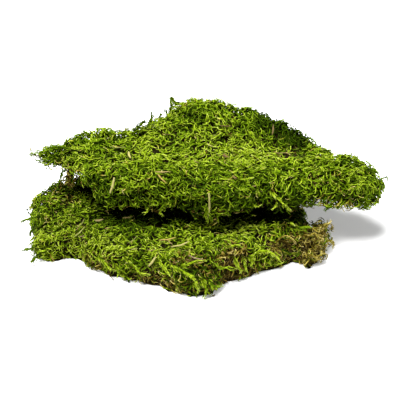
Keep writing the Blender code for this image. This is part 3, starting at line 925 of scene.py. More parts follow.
class Mat:
    """One mat: its outer form, where shoots grow on it, how far its tufts rise, and which shade they have."""

    FLOW_LENGTH, RELIEF_LENGTH, PATCH_LENGTH = 28 * MM, 9 * MM, 24 * MM
    TUFT_HEIGHT = 0.95 * MM
    USUAL_SHADE = 0.655
    # the relief's share is painted shade: tufts lighter, hollows darker
    PATCH_SHADE, RELIEF_SHADE = 0.045, 0.035
    OLIVE_SHARE = 0.04
    OLIVE_SHADES = (0.33, 0.43)
    DEAD_TONE = 0.18  # shade of dead shoots outside the patches
    DRY_SPREAD = 0.15
    FIBRES_ALL_OVER = 0.008

    def __init__(self, node, rng, dead_share, cover=None):
        self.skin = Skin(node)
        self.cover = cover
        self.dead_share = dead_share
        self.flow = Swirl(rng, self.FLOW_LENGTH, 3)
        self.relief = Swirl(rng, self.RELIEF_LENGTH, 1)
        self.patches = Swirl(rng, self.PATCH_LENGTH, 2)

    def lift(self, points):
        """How far the tufts rise there: their height times the relief field, kept from -1.6 to 1.2."""
        return self.TUFT_HEIGHT * np.clip(self.relief.read(points)[:, 0], -1.6, 1.2)

    def density(self, points, facing):
        """Share of full growth.

        It falls to 0.12 underneath. On the lower mat it is a tenth of that where the upper one is 2.5 mm
        away, and nothing on the cut. The bare spots take their share off. Where shoots are finer by the
        share f, there are (1 - f)^-1.6 times as many.
        """
        share = 0.12 + 0.88 * smooth(facing[:, 2], -0.7, -0.1)
        if self.cover:
            room = self.cover(points) - points[:, 2]
            open_air = np.where(np.isfinite(room), smooth(room, 2.5 * MM, 9 * MM), 1.0)
            share = share * (0.1 + 0.9 * open_air) * smooth(facing[:, 2], -0.95, -0.6)
        crowd = (1 - spots(points, FINE_SPOTS_MM)) ** -1.6
        return share * crowd * (1 - np.clip(spots(points, BARE_SPOTS_MM), -0.8, 0.92))

    def fibre_density(self, points, facing):
        """Share of full cover with root fibres: most where the shoots are dead, none on the cut."""
        share = self.FIBRES_ALL_OVER + self.dead(points, facing)[0]
        return share * smooth(facing[:, 2], -0.97, -0.7) if self.cover else share

    def dead(self, points, facing):
        """Share of dead shoots, and the shade that they have about.

        It is the sum over the dead patches, plus more underneath and at the foot of the lower mat's rim.
        """
        table = np.array(DEAD_PATCHES_MM, float)
        weight = spot_weights(points, table)
        below = 0.5 * smooth(-facing[:, 2], 0.2, 0.8)
        foot = 0.08 * (1 - smooth(points[:, 2], 2 * MM, 7 * MM)) if self.cover else 0.0
        wild = 0.02 * np.maximum(self.patches.read(points)[:, 1] - 0.7, 0)
        other = self.dead_share + below + foot + wild
        share = weight.sum(1) + other
        tone = ((weight * table[:, 5]).sum(1) + other * self.DEAD_TONE) / np.maximum(share, 1e-6)
        return np.clip(share, 0, 0.97), tone

    def shades(self, points, facing, rng, spread):
        """Shade of every shoot, from 0 (dead and dark) through 0.24 (straw) to 1 (brightest green)."""
        patches = self.patches.read(points)[:, 0]
        relief = self.relief.read(points)[:, 0]
        # painted shade: the relief's tufts are lighter and its hollows darker
        shade = self.USUAL_SHADE + self.PATCH_SHADE * patches + self.RELIEF_SHADE * relief
        # painted light and shade from the bands, partly lighter and darker growth
        shade = shade + spots(points, PAINTED_SHADE_AND_GROWTH_MM)
        shade = np.clip(shade + rng.normal(0, spread, len(points)), *LIVING_SHADES)
        olive = rng.random(len(points)) < self.OLIVE_SHARE
        shade = np.where(olive, rng.uniform(*self.OLIVE_SHADES, len(points)), shade)
        share, tone = self.dead(points, facing)
        dry = np.clip(tone + rng.normal(0, self.DRY_SPREAD, len(points)), *DRY_SHADES)
        return np.where(rng.random(len(points)) < share, dry, shade)


DOWNHILL_PULL = 1.5
FAN_TONE = 0.035
FAN_WIDTH = 2.0 * MM
FAN_TURN = 0.9
LOOSE_HOLD, FIRM_HOLD = 0.3, 0.8


def grow_shoots(mat, count, rng, look, layer, density=None):
    """Middle lines, radii and shades of one layer of shoots on a mat.

    Fans are scattered by area and density. A fan sets off along a slowly turning field plus the slope. Each
    shoot of a fan starts a little to one side, leaves it at a random angle, and bends left or right over its
    whole length. A living shoot is lighter the higher its tip stands: painted shade for the depth of the mat.
    """
    fan, skin = layer["fan"], mat.skin
    start, outward = skin.scatter(count // fan, density or mat.density, rng)
    downhill = np.array([0, 0, -1.0]) + outward * outward[:, 2:]
    heading = along_surface(mat.flow.read(start) + DOWNHILL_PULL * downhill + 1e-6, outward)
    fan_tone = rng.normal(0, FAN_TONE, len(start))
    fans = (start, outward, heading, fan_tone)
    start, outward, heading, fan_tone = (np.repeat(values, fan, axis=0) for values in fans)
    count = len(start)
    aside = along_surface(rng.normal(size=(count, 3)), outward)
    aside = aside * np.abs(rng.normal(0, FAN_WIDTH, count))[:, None]
    heading = turned(heading, outward, rng.normal(0, FAN_TURN, count))
    fine = 1 - spots(start, FINE_SPOTS_MM)
    length = look.shoot_length * layer["length"] * rng.uniform(0.6, 1.4, count) * fine
    rings = layer["rings"]
    bend = np.where(rng.random(count) < 0.5, 1, -1) * rng.uniform(*layer["bend"], count) / (rings - 1)
    curl = rng.normal(0, layer["curl"], count)
    hold = np.where(rng.random(count) < layer["free"], LOOSE_HOLD, FIRM_HOLD)
    lift = mat.lift(start)
    high_end = rng.uniform(*layer["height"], count) * MM + lift
    low_end = high_end - rng.uniform(1.5, 3.5, count) * MM
    begin = start + aside - heading * (0.5 * length)[:, None]
    height, normal, near = skin.read(begin)
    begin = begin + normal * np.where(near, low_end - height, 0)[:, None]
    heading = unit(heading + normal * layer["rise"])
    lines = creep(skin, begin, heading, length, bend, curl, low_end, high_end, rings, hold)
    radius = look.shoot_width / 2 * layer["width"] * rng.uniform(0.75, 1.2, count) * fine
    shade = mat.shades(start, outward, rng, look.shade_spread)
    # painted shade: a living shoot is lighter the higher its tip stands
    living = shade + fan_tone + layer["tone"] * ((high_end - lift) / MM) + layer["shade"]
    dry = np.maximum(shade + layer["dry"], DRY_SHADES[0])
    shade = np.where(shade > LIVING_FROM, np.clip(living, *LIVING_SHADES), dry)
    profile = shoot_profile(rings, radius, layer["taper"], layer["ripple"])
    return inside_box(dented(lines)), profile, shade


def split_up(batches, pieces, name):
    """Batches of shoots cut into this many pieces from left to right, each as one mesh."""
    made = []
    starts = [lines[:, 0, 0] for lines, _, _ in batches]
    spread = np.concatenate([np.repeat(x, lines.shape[1]) for x, (lines, _, _) in zip(starts, batches)])
    cuts = np.quantile(spread, np.linspace(0, 1, pieces + 1))
    for number in range(pieces):
        parts = []
        for x, (lines, radii, shade) in zip(starts, batches):
            chosen = (x >= cuts[number]) & ((x < cuts[number + 1]) | (number == pieces - 1))
            parts.append(leafy_tubes(lines[chosen], radii[chosen], shade[chosen]))
        made.append((f"{name}_{number + 1}", *join_parts(parts)))
    return made


# The values of a layer of shoots. fan: shoots to a fan. length, width: shares of the usual ones. rings: rings
# of a shoot. height: of the tips over the mat, in mm. free: share of loose shoots. bend, curl: turns in
# radians. rise: how steeply they set off. tone: how much lighter each mm of height is, painted shade for the
# depth of the mat. taper: how far the tip is thinned. ripple: how much rings differ. shade, dry: what is
# added to the shade of living and dead shoots; the deep layer's darker values are partly older growth and
# partly painted shade for the depth of the mat.
TOP_LAYER = {
    "fan": 3, "length": 1.0, "width": 1.0, "rings": 6, "height": (-2.0, 0.5), "free": 0.08,
    "bend": (0.5, 3.0), "curl": 0.22, "rise": 0.0, "tone": 0.075, "taper": 0.55, "ripple": 0.15,
    "shade": 0.0, "dry": 0.0}
DEEP_LAYER = {
    "fan": 3, "length": 0.9, "width": 1.25, "rings": 3, "height": (-4.2, -2.3), "free": 0.0,
    "bend": (0.2, 1.2), "curl": 0.1, "rise": 0.0, "tone": 0.03, "taper": 0.45, "ripple": 0.08,
    "shade": -0.10, "dry": -0.14}
STRAY_LAYER = {
    "fan": 2, "length": 0.85, "width": 0.9, "rings": 7, "height": (-0.5, 1.7), "free": 1.0,
    "bend": (1.0, 3.4), "curl": 0.3, "rise": 0.4, "tone": 0.01, "taper": 0.6, "ripple": 0.15,
    "shade": 0.03, "dry": 0.04}
ROOT_FIBRES = {
    "fan": 1, "length": 1.25, "width": 0.34, "rings": 6, "height": (-1.9, 0.4), "free": 0.25,
    "bend": (0.4, 3.6), "curl": 0.4, "rise": 0.1, "tone": 0.0, "taper": 0.7, "ripple": 0.0,
    "shade": 0.0, "dry": 0.0}


UPPER_STRANDS_MM = (
    # path, copies, looseness, side shoots, their length, width, shade
    # the tail at the left end: an upper and a lower lock that meet at the tip, with holes between them
    (((-92, 22, 55), (-100.5, 24, 56), (-108.6, 26, 55.2), (-118.4, 27, 50.8), (-128, 27, 50.0)),
     6, 1.3, 9, 4.2, 1.0, 0.62),
    (((-95, 21, 47), (-102, 22, 44), (-111.3, 24, 43.6), (-118.5, 25, 44.4), (-127.5, 26, 46.6)),
     5, 1.0, 8, 3.6, 0.9, 0.52),
    (((-97, 22, 51), (-104, 24, 50), (-111, 25, 49), (-117, 26, 47), (-121, 27, 48)),
     4, 1.6, 7, 3.6, 0.9, 0.58),
    (((-118, 27, 50), (-122, 27, 48.5), (-125, 27, 49), (-126.8, 27, 53), (-126, 27, 56.5)),
     2, 0.5, 4, 2.2, 0.8, 0.30),
    (((-100, 20, 43), (-104, 19, 42.2), (-110, 19, 41.4), (-114, 20, 42)), 2, 0.5, 0, 0, 0.4, 0.22),
    # locks that hang under the tail
    (((-100, 17, 43), (-103.5, 16, 41), (-105.2, 15, 34.7), (-107.5, 14, 30.2)), 3, 0.9, 8, 3.4, 1.0, 0.58),
    (((-107.5, 14, 30.2), (-108.5, 11, 29.5), (-109.6, 8, 28.5), (-111, 5, 27)), 2, 0.5, 0, 0, 0.45, 0.20),
    (((-99, 17, 42), (-99.1, 16, 38), (-98.5, 16, 34), (-98.9, 15, 30)), 5, 1.5, 7, 3.2, 0.9, 0.13),
    (((-96.5, 17, 40), (-97, 16, 36), (-96, 16, 32)), 3, 1.2, 6, 3.0, 0.9, 0.52),
    (((-91.2, 16, 39.5), (-93, 15, 38.5), (-94, 15, 35.5), (-95.9, 14, 32.3), (-94, 13, 30)),
     3, 0.7, 3, 2.4, 0.6, 0.05),
    (((-88, 15, 40), (-89, 14, 37), (-91.5, 13, 35), (-91, 12, 32)), 3, 0.9, 5, 2.6, 0.7, 0.46),
    # tufts that stand up along the rear edge
    (((-50, 42, 56), (-48.8, 46, 60.3), (-46, 48, 63.5), (-43, 50, 65.3)), 5, 1.1, 7, 3.6, 0.9, 0.54),
    (((-49.5, 43, 57), (-50.5, 46, 61), (-48.5, 48, 63.5)), 2, 0.8, 5, 2.8, 0.6, 0.46),
    (((-42, 50, 56), (-40.9, 54, 59.1), (-39.5, 55, 63.5), (-37.2, 56, 67.4)), 5, 0.9, 8, 3.4, 0.9, 0.55),
    (((-36, 54, 58), (-32.8, 58, 62.7), (-31.5, 59, 65)), 3, 0.9, 6, 3.2, 0.9, 0.58),
    # the leafy branch behind the top
    (((-26, 62, 60), (-25, 67, 67), (-24, 70, 72.1), (-22.3, 69, 69.5), (-20.3, 68, 68.1)),
     5, 1.1, 9, 3.6, 0.9, 0.70),
    (((-25, 70, 71.5), (-20.3, 68, 68.4), (-12.1, 64, 71.2), (-6, 63, 71.0), (0.5, 62, 71.5)),
     6, 1.0, 10, 4.0, 0.9, 0.66),
    (((-25.5, 62, 63.8), (-23.2, 64, 67.7), (-19, 62, 67.6), (-15, 60, 67.5)), 4, 0.9, 8, 3.4, 0.9, 0.60),
    (((-27, 58, 62), (-28.2, 62, 64), (-28.5, 64, 66)), 3, 0.8, 5, 3.0, 0.9, 0.50),
    # hanging bits on the right: free shoot, threads and locks under the edge
    (((119, -4, 47), (125.5, -4, 47.5), (129.6, -4, 49), (130.5, -5, 47)), 2, 0.7, 5, 3.0, 1.0, 0.62),
    (((70.5, 33, 53), (72.2, 36, 56.5), (74, 37.5, 60), (76.4, 38, 63.5)), 2, 0.8, 2, 2.4, 0.6, 0.50),
    (((84, -18, 39), (86.5, -21, 37), (87.6, -22, 35.4), (85, -22, 32)), 3, 0.9, 6, 3.0, 1.0, 0.54),
    (((77, -19, 38), (76, -21, 36), (74, -22, 36.8), (71.3, -22, 36.3)), 2, 0.8, 4, 2.6, 0.9, 0.56),
    (((96, -17, 40), (99, -20, 38.5), (102, -20, 38), (105, -19, 38.5)), 3, 1.0, 6, 2.8, 1.0, 0.30),
    # long leafy shoots on the lip
    (((47, -19, 47), (49.8, -22, 45), (52.7, -24, 42.6), (56.3, -25, 39), (60, -25, 35.5)),
     2, 0.6, 12, 4.0, 1.7, 0.84),
    (((50, -22.5, 42.5), (51.3, -24, 40), (50.2, -25, 37.5), (47.6, -25, 35.0)), 2, 0.5, 3, 2.2, 1.1, 0.88),
    (((57.6, -25, 38.1), (59.5, -26, 36.5), (61.5, -26, 35.4)), 2, 0.4, 2, 2.0, 1.0, 0.88),
    (((2, -32.5, 44), (1.5, -34.5, 40), (1.0, -35.2, 36), (1.4, -35.2, 31.5)), 3, 0.8, 8, 3.0, 1.0, 0.74),
    (((2.4, -34, 39), (4.5, -35.4, 36), (5.3, -35, 32)), 2, 0.7, 5, 2.8, 1.0, 0.66),
    (((-30, -27, 38), (-31, -29.5, 35), (-29, -30, 33)), 2, 0.7, 5, 2.6, 1.1, 0.80),
    (((-39, -25, 37.5), (-40.5, -27, 35), (-43, -27.5, 34)), 2, 0.7, 4, 2.4, 1.0, 0.78),
    (((-3.6, -1, 57.8), (-3.4, -6, 57.4), (-3.2, -10, 56.6), (-2.6, -14, 56.2), (-1.0, -17, 54.8)),
     1, 0.4, 5, 2.4, 1.1, 0.60),
    (((44, -9, 58.6), (47, -11, 58.4), (50.5, -13, 56.6), (50, -16, 54.6), (47, -17, 53.6)),
     1, 0.3, 0, 0, 1.1, 0.88),
    (((22.5, -17, 56.4), (26, -18.5, 55.8), (29.8, -18, 56.4), (35, -16, 57)), 2, 0.6, 2, 2.4, 1.1, 0.86),
    (((14, -31.5, 49), (17, -33, 47), (19, -33.5, 43.5), (17.5, -33, 40.5)), 2, 0.7, 4, 2.8, 1.1, 0.82),
    (((33, -27, 43), (35, -27.5, 40.5), (38, -27, 39), (40, -26.5, 40.5)), 2, 0.6, 2, 2.4, 1.1, 0.86),
)
LOWER_STRANDS_MM = (
    # long leafy shoots over the front edge
    (((-24, -68, 18), (-21.2, -71.5, 18), (-14.2, -76.5, 18.2), (-8, -80, 14), (-3.2, -82.8, 7.6)),
     3, 1.1, 14, 4.4, 1.3, 0.76),
    (((-18, -71, 18.5), (-15.6, -72.9, 19.2), (-10.1, -68.5, 20), (-4.6, -66.4, 20.2), (0.9, -69.4, 21.6)),
     2, 0.8, 10, 4.0, 1.3, 0.78),
    (((28, -53.5, 14), (31.8, -55.2, 14.6), (37.5, -52.5, 18.2), (44.6, -50.4, 16.8),
      (50.3, -50.2, 12), (54, -49.5, 6.2)),
     2, 0.7, 10, 3.6, 1.4, 0.88),
    (((3, -67, 20.5), (6.5, -70.8, 20.2), (11.4, -69.6, 15.6), (16.3, -66, 14.4), (21.9, -64.6, 12.2)),
     2, 0.9, 9, 3.8, 1.3, 0.74),
    (((-9, -78.5, 11), (-6, -81.6, 9.4), (-3.4, -83.2, 6.4)), 2, 0.8, 8, 3.8, 1.3, 0.80),
    (((-4, -78, 13), (-1.1, -81.4, 12.2), (1.6, -83.6, 7.2), (1.8, -84.5, 2.5)), 3, 1.0, 10, 4.0, 1.2, 0.74),
    (((2, -78, 13), (5.1, -81.6, 11.6), (7.8, -81.4, 8.6), (11, -80, 8)), 2, 0.8, 8, 3.8, 1.3, 0.70),
    (((20.5, -58.5, 18.5), (21.9, -61, 15.8), (23.6, -64, 12), (24.7, -65.6, 8.6)),
     2, 0.9, 8, 3.4, 1.2, 0.86),
    (((26.5, -56, 17), (27.5, -60.2, 13.6), (28.6, -61.6, 10.6), (29.7, -61.8, 7.6)),
     2, 0.9, 8, 3.4, 1.2, 0.86),
    (((31, -54.5, 16), (32.5, -57.5, 13), (34, -58.6, 9.6)), 2, 0.8, 7, 3.2, 1.2, 0.80),
    (((-56, -58, 18), (-53.4, -62, 16.4), (-48.4, -66, 13.4), (-44.3, -67, 10.6), (-38, -68.8, 10.8)),
     2, 0.9, 9, 3.8, 1.3, 0.82),
    (((-62, -53, 19.4), (-59.1, -55, 20), (-53.6, -53.2, 21.6), (-48.1, -50.2, 22.2)),
     2, 0.8, 7, 3.4, 1.2, 0.80),
    (((-33, -61, 19), (-31, -64.6, 18.2), (-27.5, -69.6, 16.4), (-23.9, -75.6, 13.8)),
     2, 0.8, 8, 3.8, 1.3, 0.80),
    (((12, -52, 22.8), (17, -53, 22.4), (22, -51, 22.8), (26, -52, 22)), 2, 0.8, 6, 3.4, 1.2, 0.82),
    (((-74, -52.5, 14.5), (-71, -56, 12.6), (-67, -59.5, 9.6), (-64, -61, 8)), 3, 1.0, 9, 3.6, 1.2, 0.80),
    (((-64, -57, 13), (-62, -61, 11), (-60, -63.5, 8), (-60.5, -64.5, 5)), 2, 0.9, 7, 3.4, 1.1, 0.74),
    # fine threads at the front left
    (((-72, -53.5, 11), (-74.9, -54.5, 9.6), (-78.2, -55.6, 6), (-81.5, -57, 2.4), (-80.5, -57.5, 1.4)),
     2, 0.7, 1, 2.0, 0.35, 0.12),
    (((-66, -58.5, 8), (-66.8, -61, 5), (-65.2, -62, 2.6), (-63, -62, 2)), 3, 0.8, 2, 2.0, 0.4, 0.10),
    # rim of the left end
    (((-117, 1, 31), (-118.6, -2, 32), (-121.5, -8, 32.4), (-123.6, -13, 31.6)), 2, 0.7, 4, 2.6, 0.8, 0.42),
    (((-120, -12, 29), (-125.6, -14, 29.4), (-126.6, -15, 26.6), (-124.6, -15, 24.4), (-121, -15, 24)),
     2, 0.7, 5, 2.8, 0.8, 0.50),
    (((-118.5, -17, 24), (-123.4, -18, 23.4), (-127, -21, 24.0), (-131.5, -22, 22.8)),
     4, 0.8, 7, 3.2, 1.1, 0.60),
    (((-118, -24, 19), (-121.5, -26, 19), (-124.5, -28, 17.5), (-123.5, -29, 14.5)),
     3, 0.9, 6, 3.0, 0.9, 0.44),
    (((-119, -34, 12), (-123, -38, 10.6), (-126, -40, 11.0), (-127.5, -40, 12.0)), 4, 0.9, 7, 3.2, 0.9, 0.62),
    (((-116, -39, 8), (-120, -42.5, 6), (-121.5, -44.5, 5.0), (-123, -45, 4.4)), 4, 1.0, 7, 3.0, 0.9, 0.60),
    # dead right end: an arch of dry shoots over a hollow, curls and threads
    (((50.0, -41, 14.0), (50.8, -40, 17.4), (53.4, -38.6, 20.4), (57, -37.6, 21.2),
      (61, -38, 19.8), (64.4, -40, 16.0)),
     3, 0.5, 7, 2.0, 0.75, 0.25),
    # near-black dead strands that fill the hollow: painted shade
    (((52.5, -37.5, 14.5), (55.5, -36.0, 16.2), (58.5, -36.6, 13.6), (61, -38.4, 10)),
     3, 1.1, 4, 2.6, 1.4, 0.03),
    (((63.6, -25, 20.6), (68, -26, 20.8), (74, -26, 20.8), (79, -26, 20.6)), 2, 0.5, 4, 2.2, 1.0, 0.74),
    (((60, -27.5, 21.2), (64, -29, 20.8), (69, -29.5, 20.6), (74, -30, 19.2)), 2, 0.6, 5, 2.4, 1.0, 0.70),
    (((60.4, -24.6, 22.8), (62, -25.4, 23.6), (64, -26.2, 22.6)), 2, 0.3, 0, 0, 2.2, 0.95),
    (((53, -43, 14), (55.5, -43, 12), (60, -43, 9.6), (65, -43.5, 10), (68, -42, 12)),
     3, 1.0, 7, 3.2, 1.0, 0.42),
    (((80, -38, 5.5), (82.6, -42.4, 4.4), (86.6, -43, 5.6), (86.4, -43, 9), (82.4, -42.6, 9.4),
      (81.4, -42, 7.4)),
     2, 0.35, 0, 0, 0.7, 0.22),
    (((78, -41, 9), (80.6, -44, 8), (83.6, -44.4, 10.4), (82, -44, 13)), 2, 0.5, 3, 2.4, 0.7, 0.26),
    (((86, -31, 12), (89.5, -31.5, 12.6), (92.4, -32, 10.6), (91.6, -32, 8)), 3, 0.8, 5, 2.8, 0.8, 0.26),
    (((83, -26, 20), (86, -27, 22.5), (88.4, -27.2, 24.6), (89.4, -27.4, 27.0)), 5, 1.1, 6, 2.4, 0.9, 0.25),
    (((90.5, -27, 18), (90.8, -27.2, 21), (90.2, -27.4, 24.6)), 4, 0.9, 5, 2.2, 0.8, 0.22),
    (((70, -35, 20), (74, -38, 21.6), (79, -37, 22.4), (83, -39, 19.6)), 3, 1.4, 6, 2.6, 0.75, 0.21),
    (((72, -45, 12), (75, -48, 12), (79, -48.4, 10), (81, -47.4, 7)), 3, 1.3, 6, 2.6, 0.75, 0.20),
    (((75, -29, 21), (79, -31, 22.8), (84, -30, 22.4)), 3, 1.3, 6, 2.6, 0.75, 0.22),
    (((66, -28, 21.4), (70, -30, 22.4), (74.5, -28, 22.4)), 2, 0.9, 6, 3.2, 1.0, 0.62),
)


# --------------------------------------------------------------------------------------------------
# Litter


LITTER = {
    # node: width and depth as shares of the solid's, bend in mm, width of root and tip, corners, ridge, cup,
    # finish
    "straw_on_lip": (0.72, 0.60, 0.8, (0.30, 0.95), 10, 0.05, 0.25, "pale_straw"),
    "straw_upper_left": (0.85, 0.55, 0.5, (0.85, 0.7), 10, 0.05, 0.25, "pale_straw"),
    "straw_lower_left": (0.62, 0.55, 0.7, (0.6, 0.4), 8, 0.0, 0.0, "fresh_straw"),
    "straw_front": (0.85, 0.50, 0.3, (0.8, 0.6), 10, 0.06, 0.30, "pale_straw"),
    "pale_stick": (0.85, 0.70, 1.2, (0.8, 0.5), 8, 0.06, 0.0, "pale_straw"),
    # the dead leaf's darker finish is painted shade: it lies in the shade under the lip
    "leaf_scrap": (0.95, 0.30, 0.5, (0.5, 0.2), 12, 0.08, 0.35, "dead_leaf"),
    "spruce_needle_long": (0.85, 0.80, 0.5, (0.7, 0.3), 8, 0.0, 0.0, "brown_needle"),
    # darker finish: partly the needle's own brown, partly painted shade on the shaded slope at the back
    "brown_needle_back": (0.60, 0.60, 0.5, (0.7, 0.3), 8, 0.0, 0.0, "dull_needle"),
    "needle_under_lip": (0.90, 0.80, 0.7, (0.7, 0.3), 8, 0.0, 0.0, "brown_needle"),
    "spruce_needle_short": (0.90, 0.85, 0.4, (0.7, 0.3), 8, 0.0, 0.0, "orange_stem"),
    "orange_stem": (0.62, 0.60, 0.9, (0.8, 0.5), 8, 0.05, 0.0, "orange_stem"),
    "bud_scale_rear": (0.62, 0.40, 0.3, (0.3, 0.3), 12, 0.05, 0.40, "dull_scale"),
    "twig_front": (0.90, 0.90, 0.8, (0.9, 0.6), 8, 0.14, 0.0, "grey_twig"),
    "bark_scrap": (0.95, 0.50, 0.2, (0.5, 0.5), 10, 0.16, 0.20, "grey_twig"),
}
LITTER_FINISHES = {
    # finish: its colours in LitterLook, and the material that it stands for
    "pale_straw": ("straw", "pale_straw"),
    "fresh_straw": ("fresh", "pale_straw"),
    "dead_leaf": ("leaf", "pale_straw"),
    "brown_needle": ("needle", "brown_needle"),
    "dull_needle": ("dull", "brown_needle"),
    "orange_stem": ("stem", "orange_stem"),
    "dull_scale": ("dull", "orange_stem"),
    "grey_twig": ("twig", "grey_twig"),
}
FLECKS_MM = (
    # start, end, width, depth, bend, kind: 0 brown, 1 orange brown, 2 tan, 3 pale straw, 4 olive
    ((-55.0, 21.5, 55.2), (-53.2, 13.6, 54.2), 2.0, 0.5, 0.4, 3),
    ((-58.3, -21.0, 49.9), (-56.6, -21.4, 45.0), 1.0, 0.5, 0.6, 3),
    ((-68.7, 26, 56.4), (-57.0, 26, 56.0), 0.7, 0.5, 0.8, 4),
    ((1.9, 25, 60.0), (6.6, 22, 58.6), 0.9, 0.6, 0.5, 3),
    ((20.0, -14.6, 57.2), (22.8, -17.2, 56.4), 1.8, 0.8, 0.5, 1),
    # a darker kind here, partly painted shade
    ((13.8, 14.0, 57.6), (18.2, 9.4, 57.4), 1.6, 0.7, 0.8, 1),
    ((12.6, 12.0, 57.8), (15.2, 9.0, 57.6), 1.2, 0.6, -0.6, 0),
    ((50.6, 29.4, 50.2), (57.6, 27.2, 50.2), 1.0, 0.6, 0.9, 2),
    ((56.2, 27.8, 50.4), (63.6, 25.4, 49.6), 0.9, 0.6, -0.8, 2),
    ((-30.2, 35, 61.8), (-23.7, 36, 61.2), 0.8, 0.5, 0.5, 0),
    ((-52.6, -53.4, 20.8), (-46.9, -52.0, 20.6), 0.8, 0.5, 0.5, 3),
    ((-40.3, -55.0, 21.4), (-33.8, -54.4, 21.2), 0.9, 0.5, 0.6, 2),
    ((-46.8, -66.0, 7.0), (-37.4, -68.0, 10.8), 0.9, 0.7, 0.7, 0),
    ((-90.8, -23.4, 18.9), (-86.2, -14.0, 20.4), 0.7, 0.5, 0.8, 4),
    ((-54.0, -46.6, 21.2), (-47.8, -41.6, 23.6), 0.6, 0.4, 0.9, 4),
    ((-25.6, -43.6, 21.6), (-22.4, -47.0, 20.6), 1.2, 0.7, 0.4, 2),
    ((-13.0, -62.0, 18.4), (-7.4, -64.8, 19.4), 0.8, 0.6, 0.6, 1),
    ((15.6, -58.0, 20.6), (20.0, -56.0, 21.0), 1.4, 0.8, 0.5, 2),
    ((-71.0, -26.5, 20.0), (-66.8, -25.8, 20.6), 1.9, 0.7, 0.3, 1),
    ((33.6, -21.4, 52.6), (36.6, -21.0, 53.0), 1.2, 0.6, 0.4, 2),
    ((-7.6, 4.6, 57.8), (-3.8, 2.0, 57.6), 0.8, 0.5, 0.5, 2),
    # on the back and the ends
    ((-62.0, 58.2, 40.0), (-50.2, 60.4, 38.2), 1.3, 0.6, 0.8, 3),
    ((-15.4, 81.2, 52.6), (-6.0, 84.0, 47.0), 1.1, 0.8, 0.6, 1),
    ((22.0, 78.2, 44.4), (26.6, 76.6, 40.8), 2.3, 0.6, 0.5, 2),
    ((59.6, 56.0, 33.6), (69.2, 51.2, 38.2), 0.9, 0.6, 0.7, 1),
    ((-31.0, 78.0, 29.6), (-22.0, 81.0, 34.2), 1.0, 0.6, -0.8, 2),
    ((40.0, 67.0, 52.0), (46.4, 64.4, 56.0), 0.9, 0.6, 0.6, 2),
    ((-75.2, 56.0, 46.0), (-68.0, 54.4, 50.2), 1.8, 0.6, 0.4, 3),
    ((-40.4, 58.0, 10.0), (-31.6, 57.4, 13.2), 1.1, 0.7, 0.6, 1),
    ((4.6, 53.2, 12.0), (10.4, 52.6, 10.0), 2.0, 0.7, 0.3, 0),
    ((127.4, 3.6, 40.4), (123.0, 12.2, 37.6), 0.9, 0.7, 0.6, 1),
    ((-128.0, 10.0, 12.4), (-129.4, 19.6, 9.4), 1.1, 0.6, 0.5, 3),
    ((-113.4, 40.6, 15.4), (-107.6, 45.0, 12.6), 1.0, 0.6, 0.4, 2),
)


# --------------------------------------------------------------------------------------------------
# Sizes and colours that a user may change


def length_value(label, note, value, low, high):
    """A length in metres."""
    return bpy.props.FloatProperty(name=label, description=note, default=value, min=low, max=high,
                                   subtype="DISTANCE", unit="LENGTH", precision=5)


def share_value(label, note, value, high=1.0):
    """A share from 0 to 1."""
    return bpy.props.FloatProperty(name=label, description=note, default=value, min=0, max=high,
                                   subtype="FACTOR")


def count_value(label, note, value, high):
    """A whole number of shoots."""
    return bpy.props.IntProperty(name=label, description=note, default=value, min=100, max=high)


def colour_value(label, note, value):
    """A linear colour."""
    return bpy.props.FloatVectorProperty(name=label, description=note, default=value, size=3, min=0, max=1,
                                         subtype="COLOR")


def power_value(label, note, value):
    """A light's power in watts."""
    return bpy.props.FloatProperty(name=label, description=note, default=value, min=0, max=1000,
                                   subtype="POWER", unit="POWER")


class MossLook(bpy.types.PropertyGroup):
    """Sizes and colours of the moss."""

    shoot_length: length_value("Shoot length", "Usual length of a shoot", 6.8 * MM, 4 * MM, 25 * MM)
    shoot_width: length_value("Shoot width", "Width of a shoot with its leaves", 1.05 * MM, 0.4 * MM, 4 * MM)
    upper_shoots: count_value("Upper shoots", "Number of full shoots on the upper mat", 11500, 14000)
    lower_shoots: count_value("Lower shoots", "Number of full shoots on the lower mat", 6700, 9000)
    stray_share: share_value("Stray shoots", "Loose shoots that stand off, as a share of the full ones", 0.07)
    fibres: count_value("Root fibres", "Number of brown fibres on each mat", 950, 3000)
    shade_spread: share_value("Shade spread", "How much one shoot's green differs from the next", 0.108, 0.3)
    upper_dead: share_value("Dead on the upper mat", "Share of dry shoots outside the dead patches", 0.003)
    lower_dead: share_value("Dead on the lower mat", "Share of dry shoots outside the dead patches", 0.004)
    thatch_depth: length_value("Thatch depth", "How far the thatch lies under the mat's outer form",
                               5.0 * MM, 1 * MM, 9 * MM)
    sheen: share_value("Sheen", "Gloss of the leaves", 0.02)
    bright_green: colour_value("Bright green", "Colour of young shoots", (0.335, 0.415, 0.050))
    middle_green: colour_value("Middle green", "Colour of most shoots", (0.154, 0.238, 0.011))
    deep_green: colour_value("Deep green", "Colour of old shoots", (0.036, 0.070, 0.0014))
    dry_straw: colour_value("Dry straw", "Colour of dried shoots", (0.38, 0.315, 0.100))
    dead_brown: colour_value("Dead brown", "Colour of dead shoots and thatch", (0.16, 0.11, 0.028))


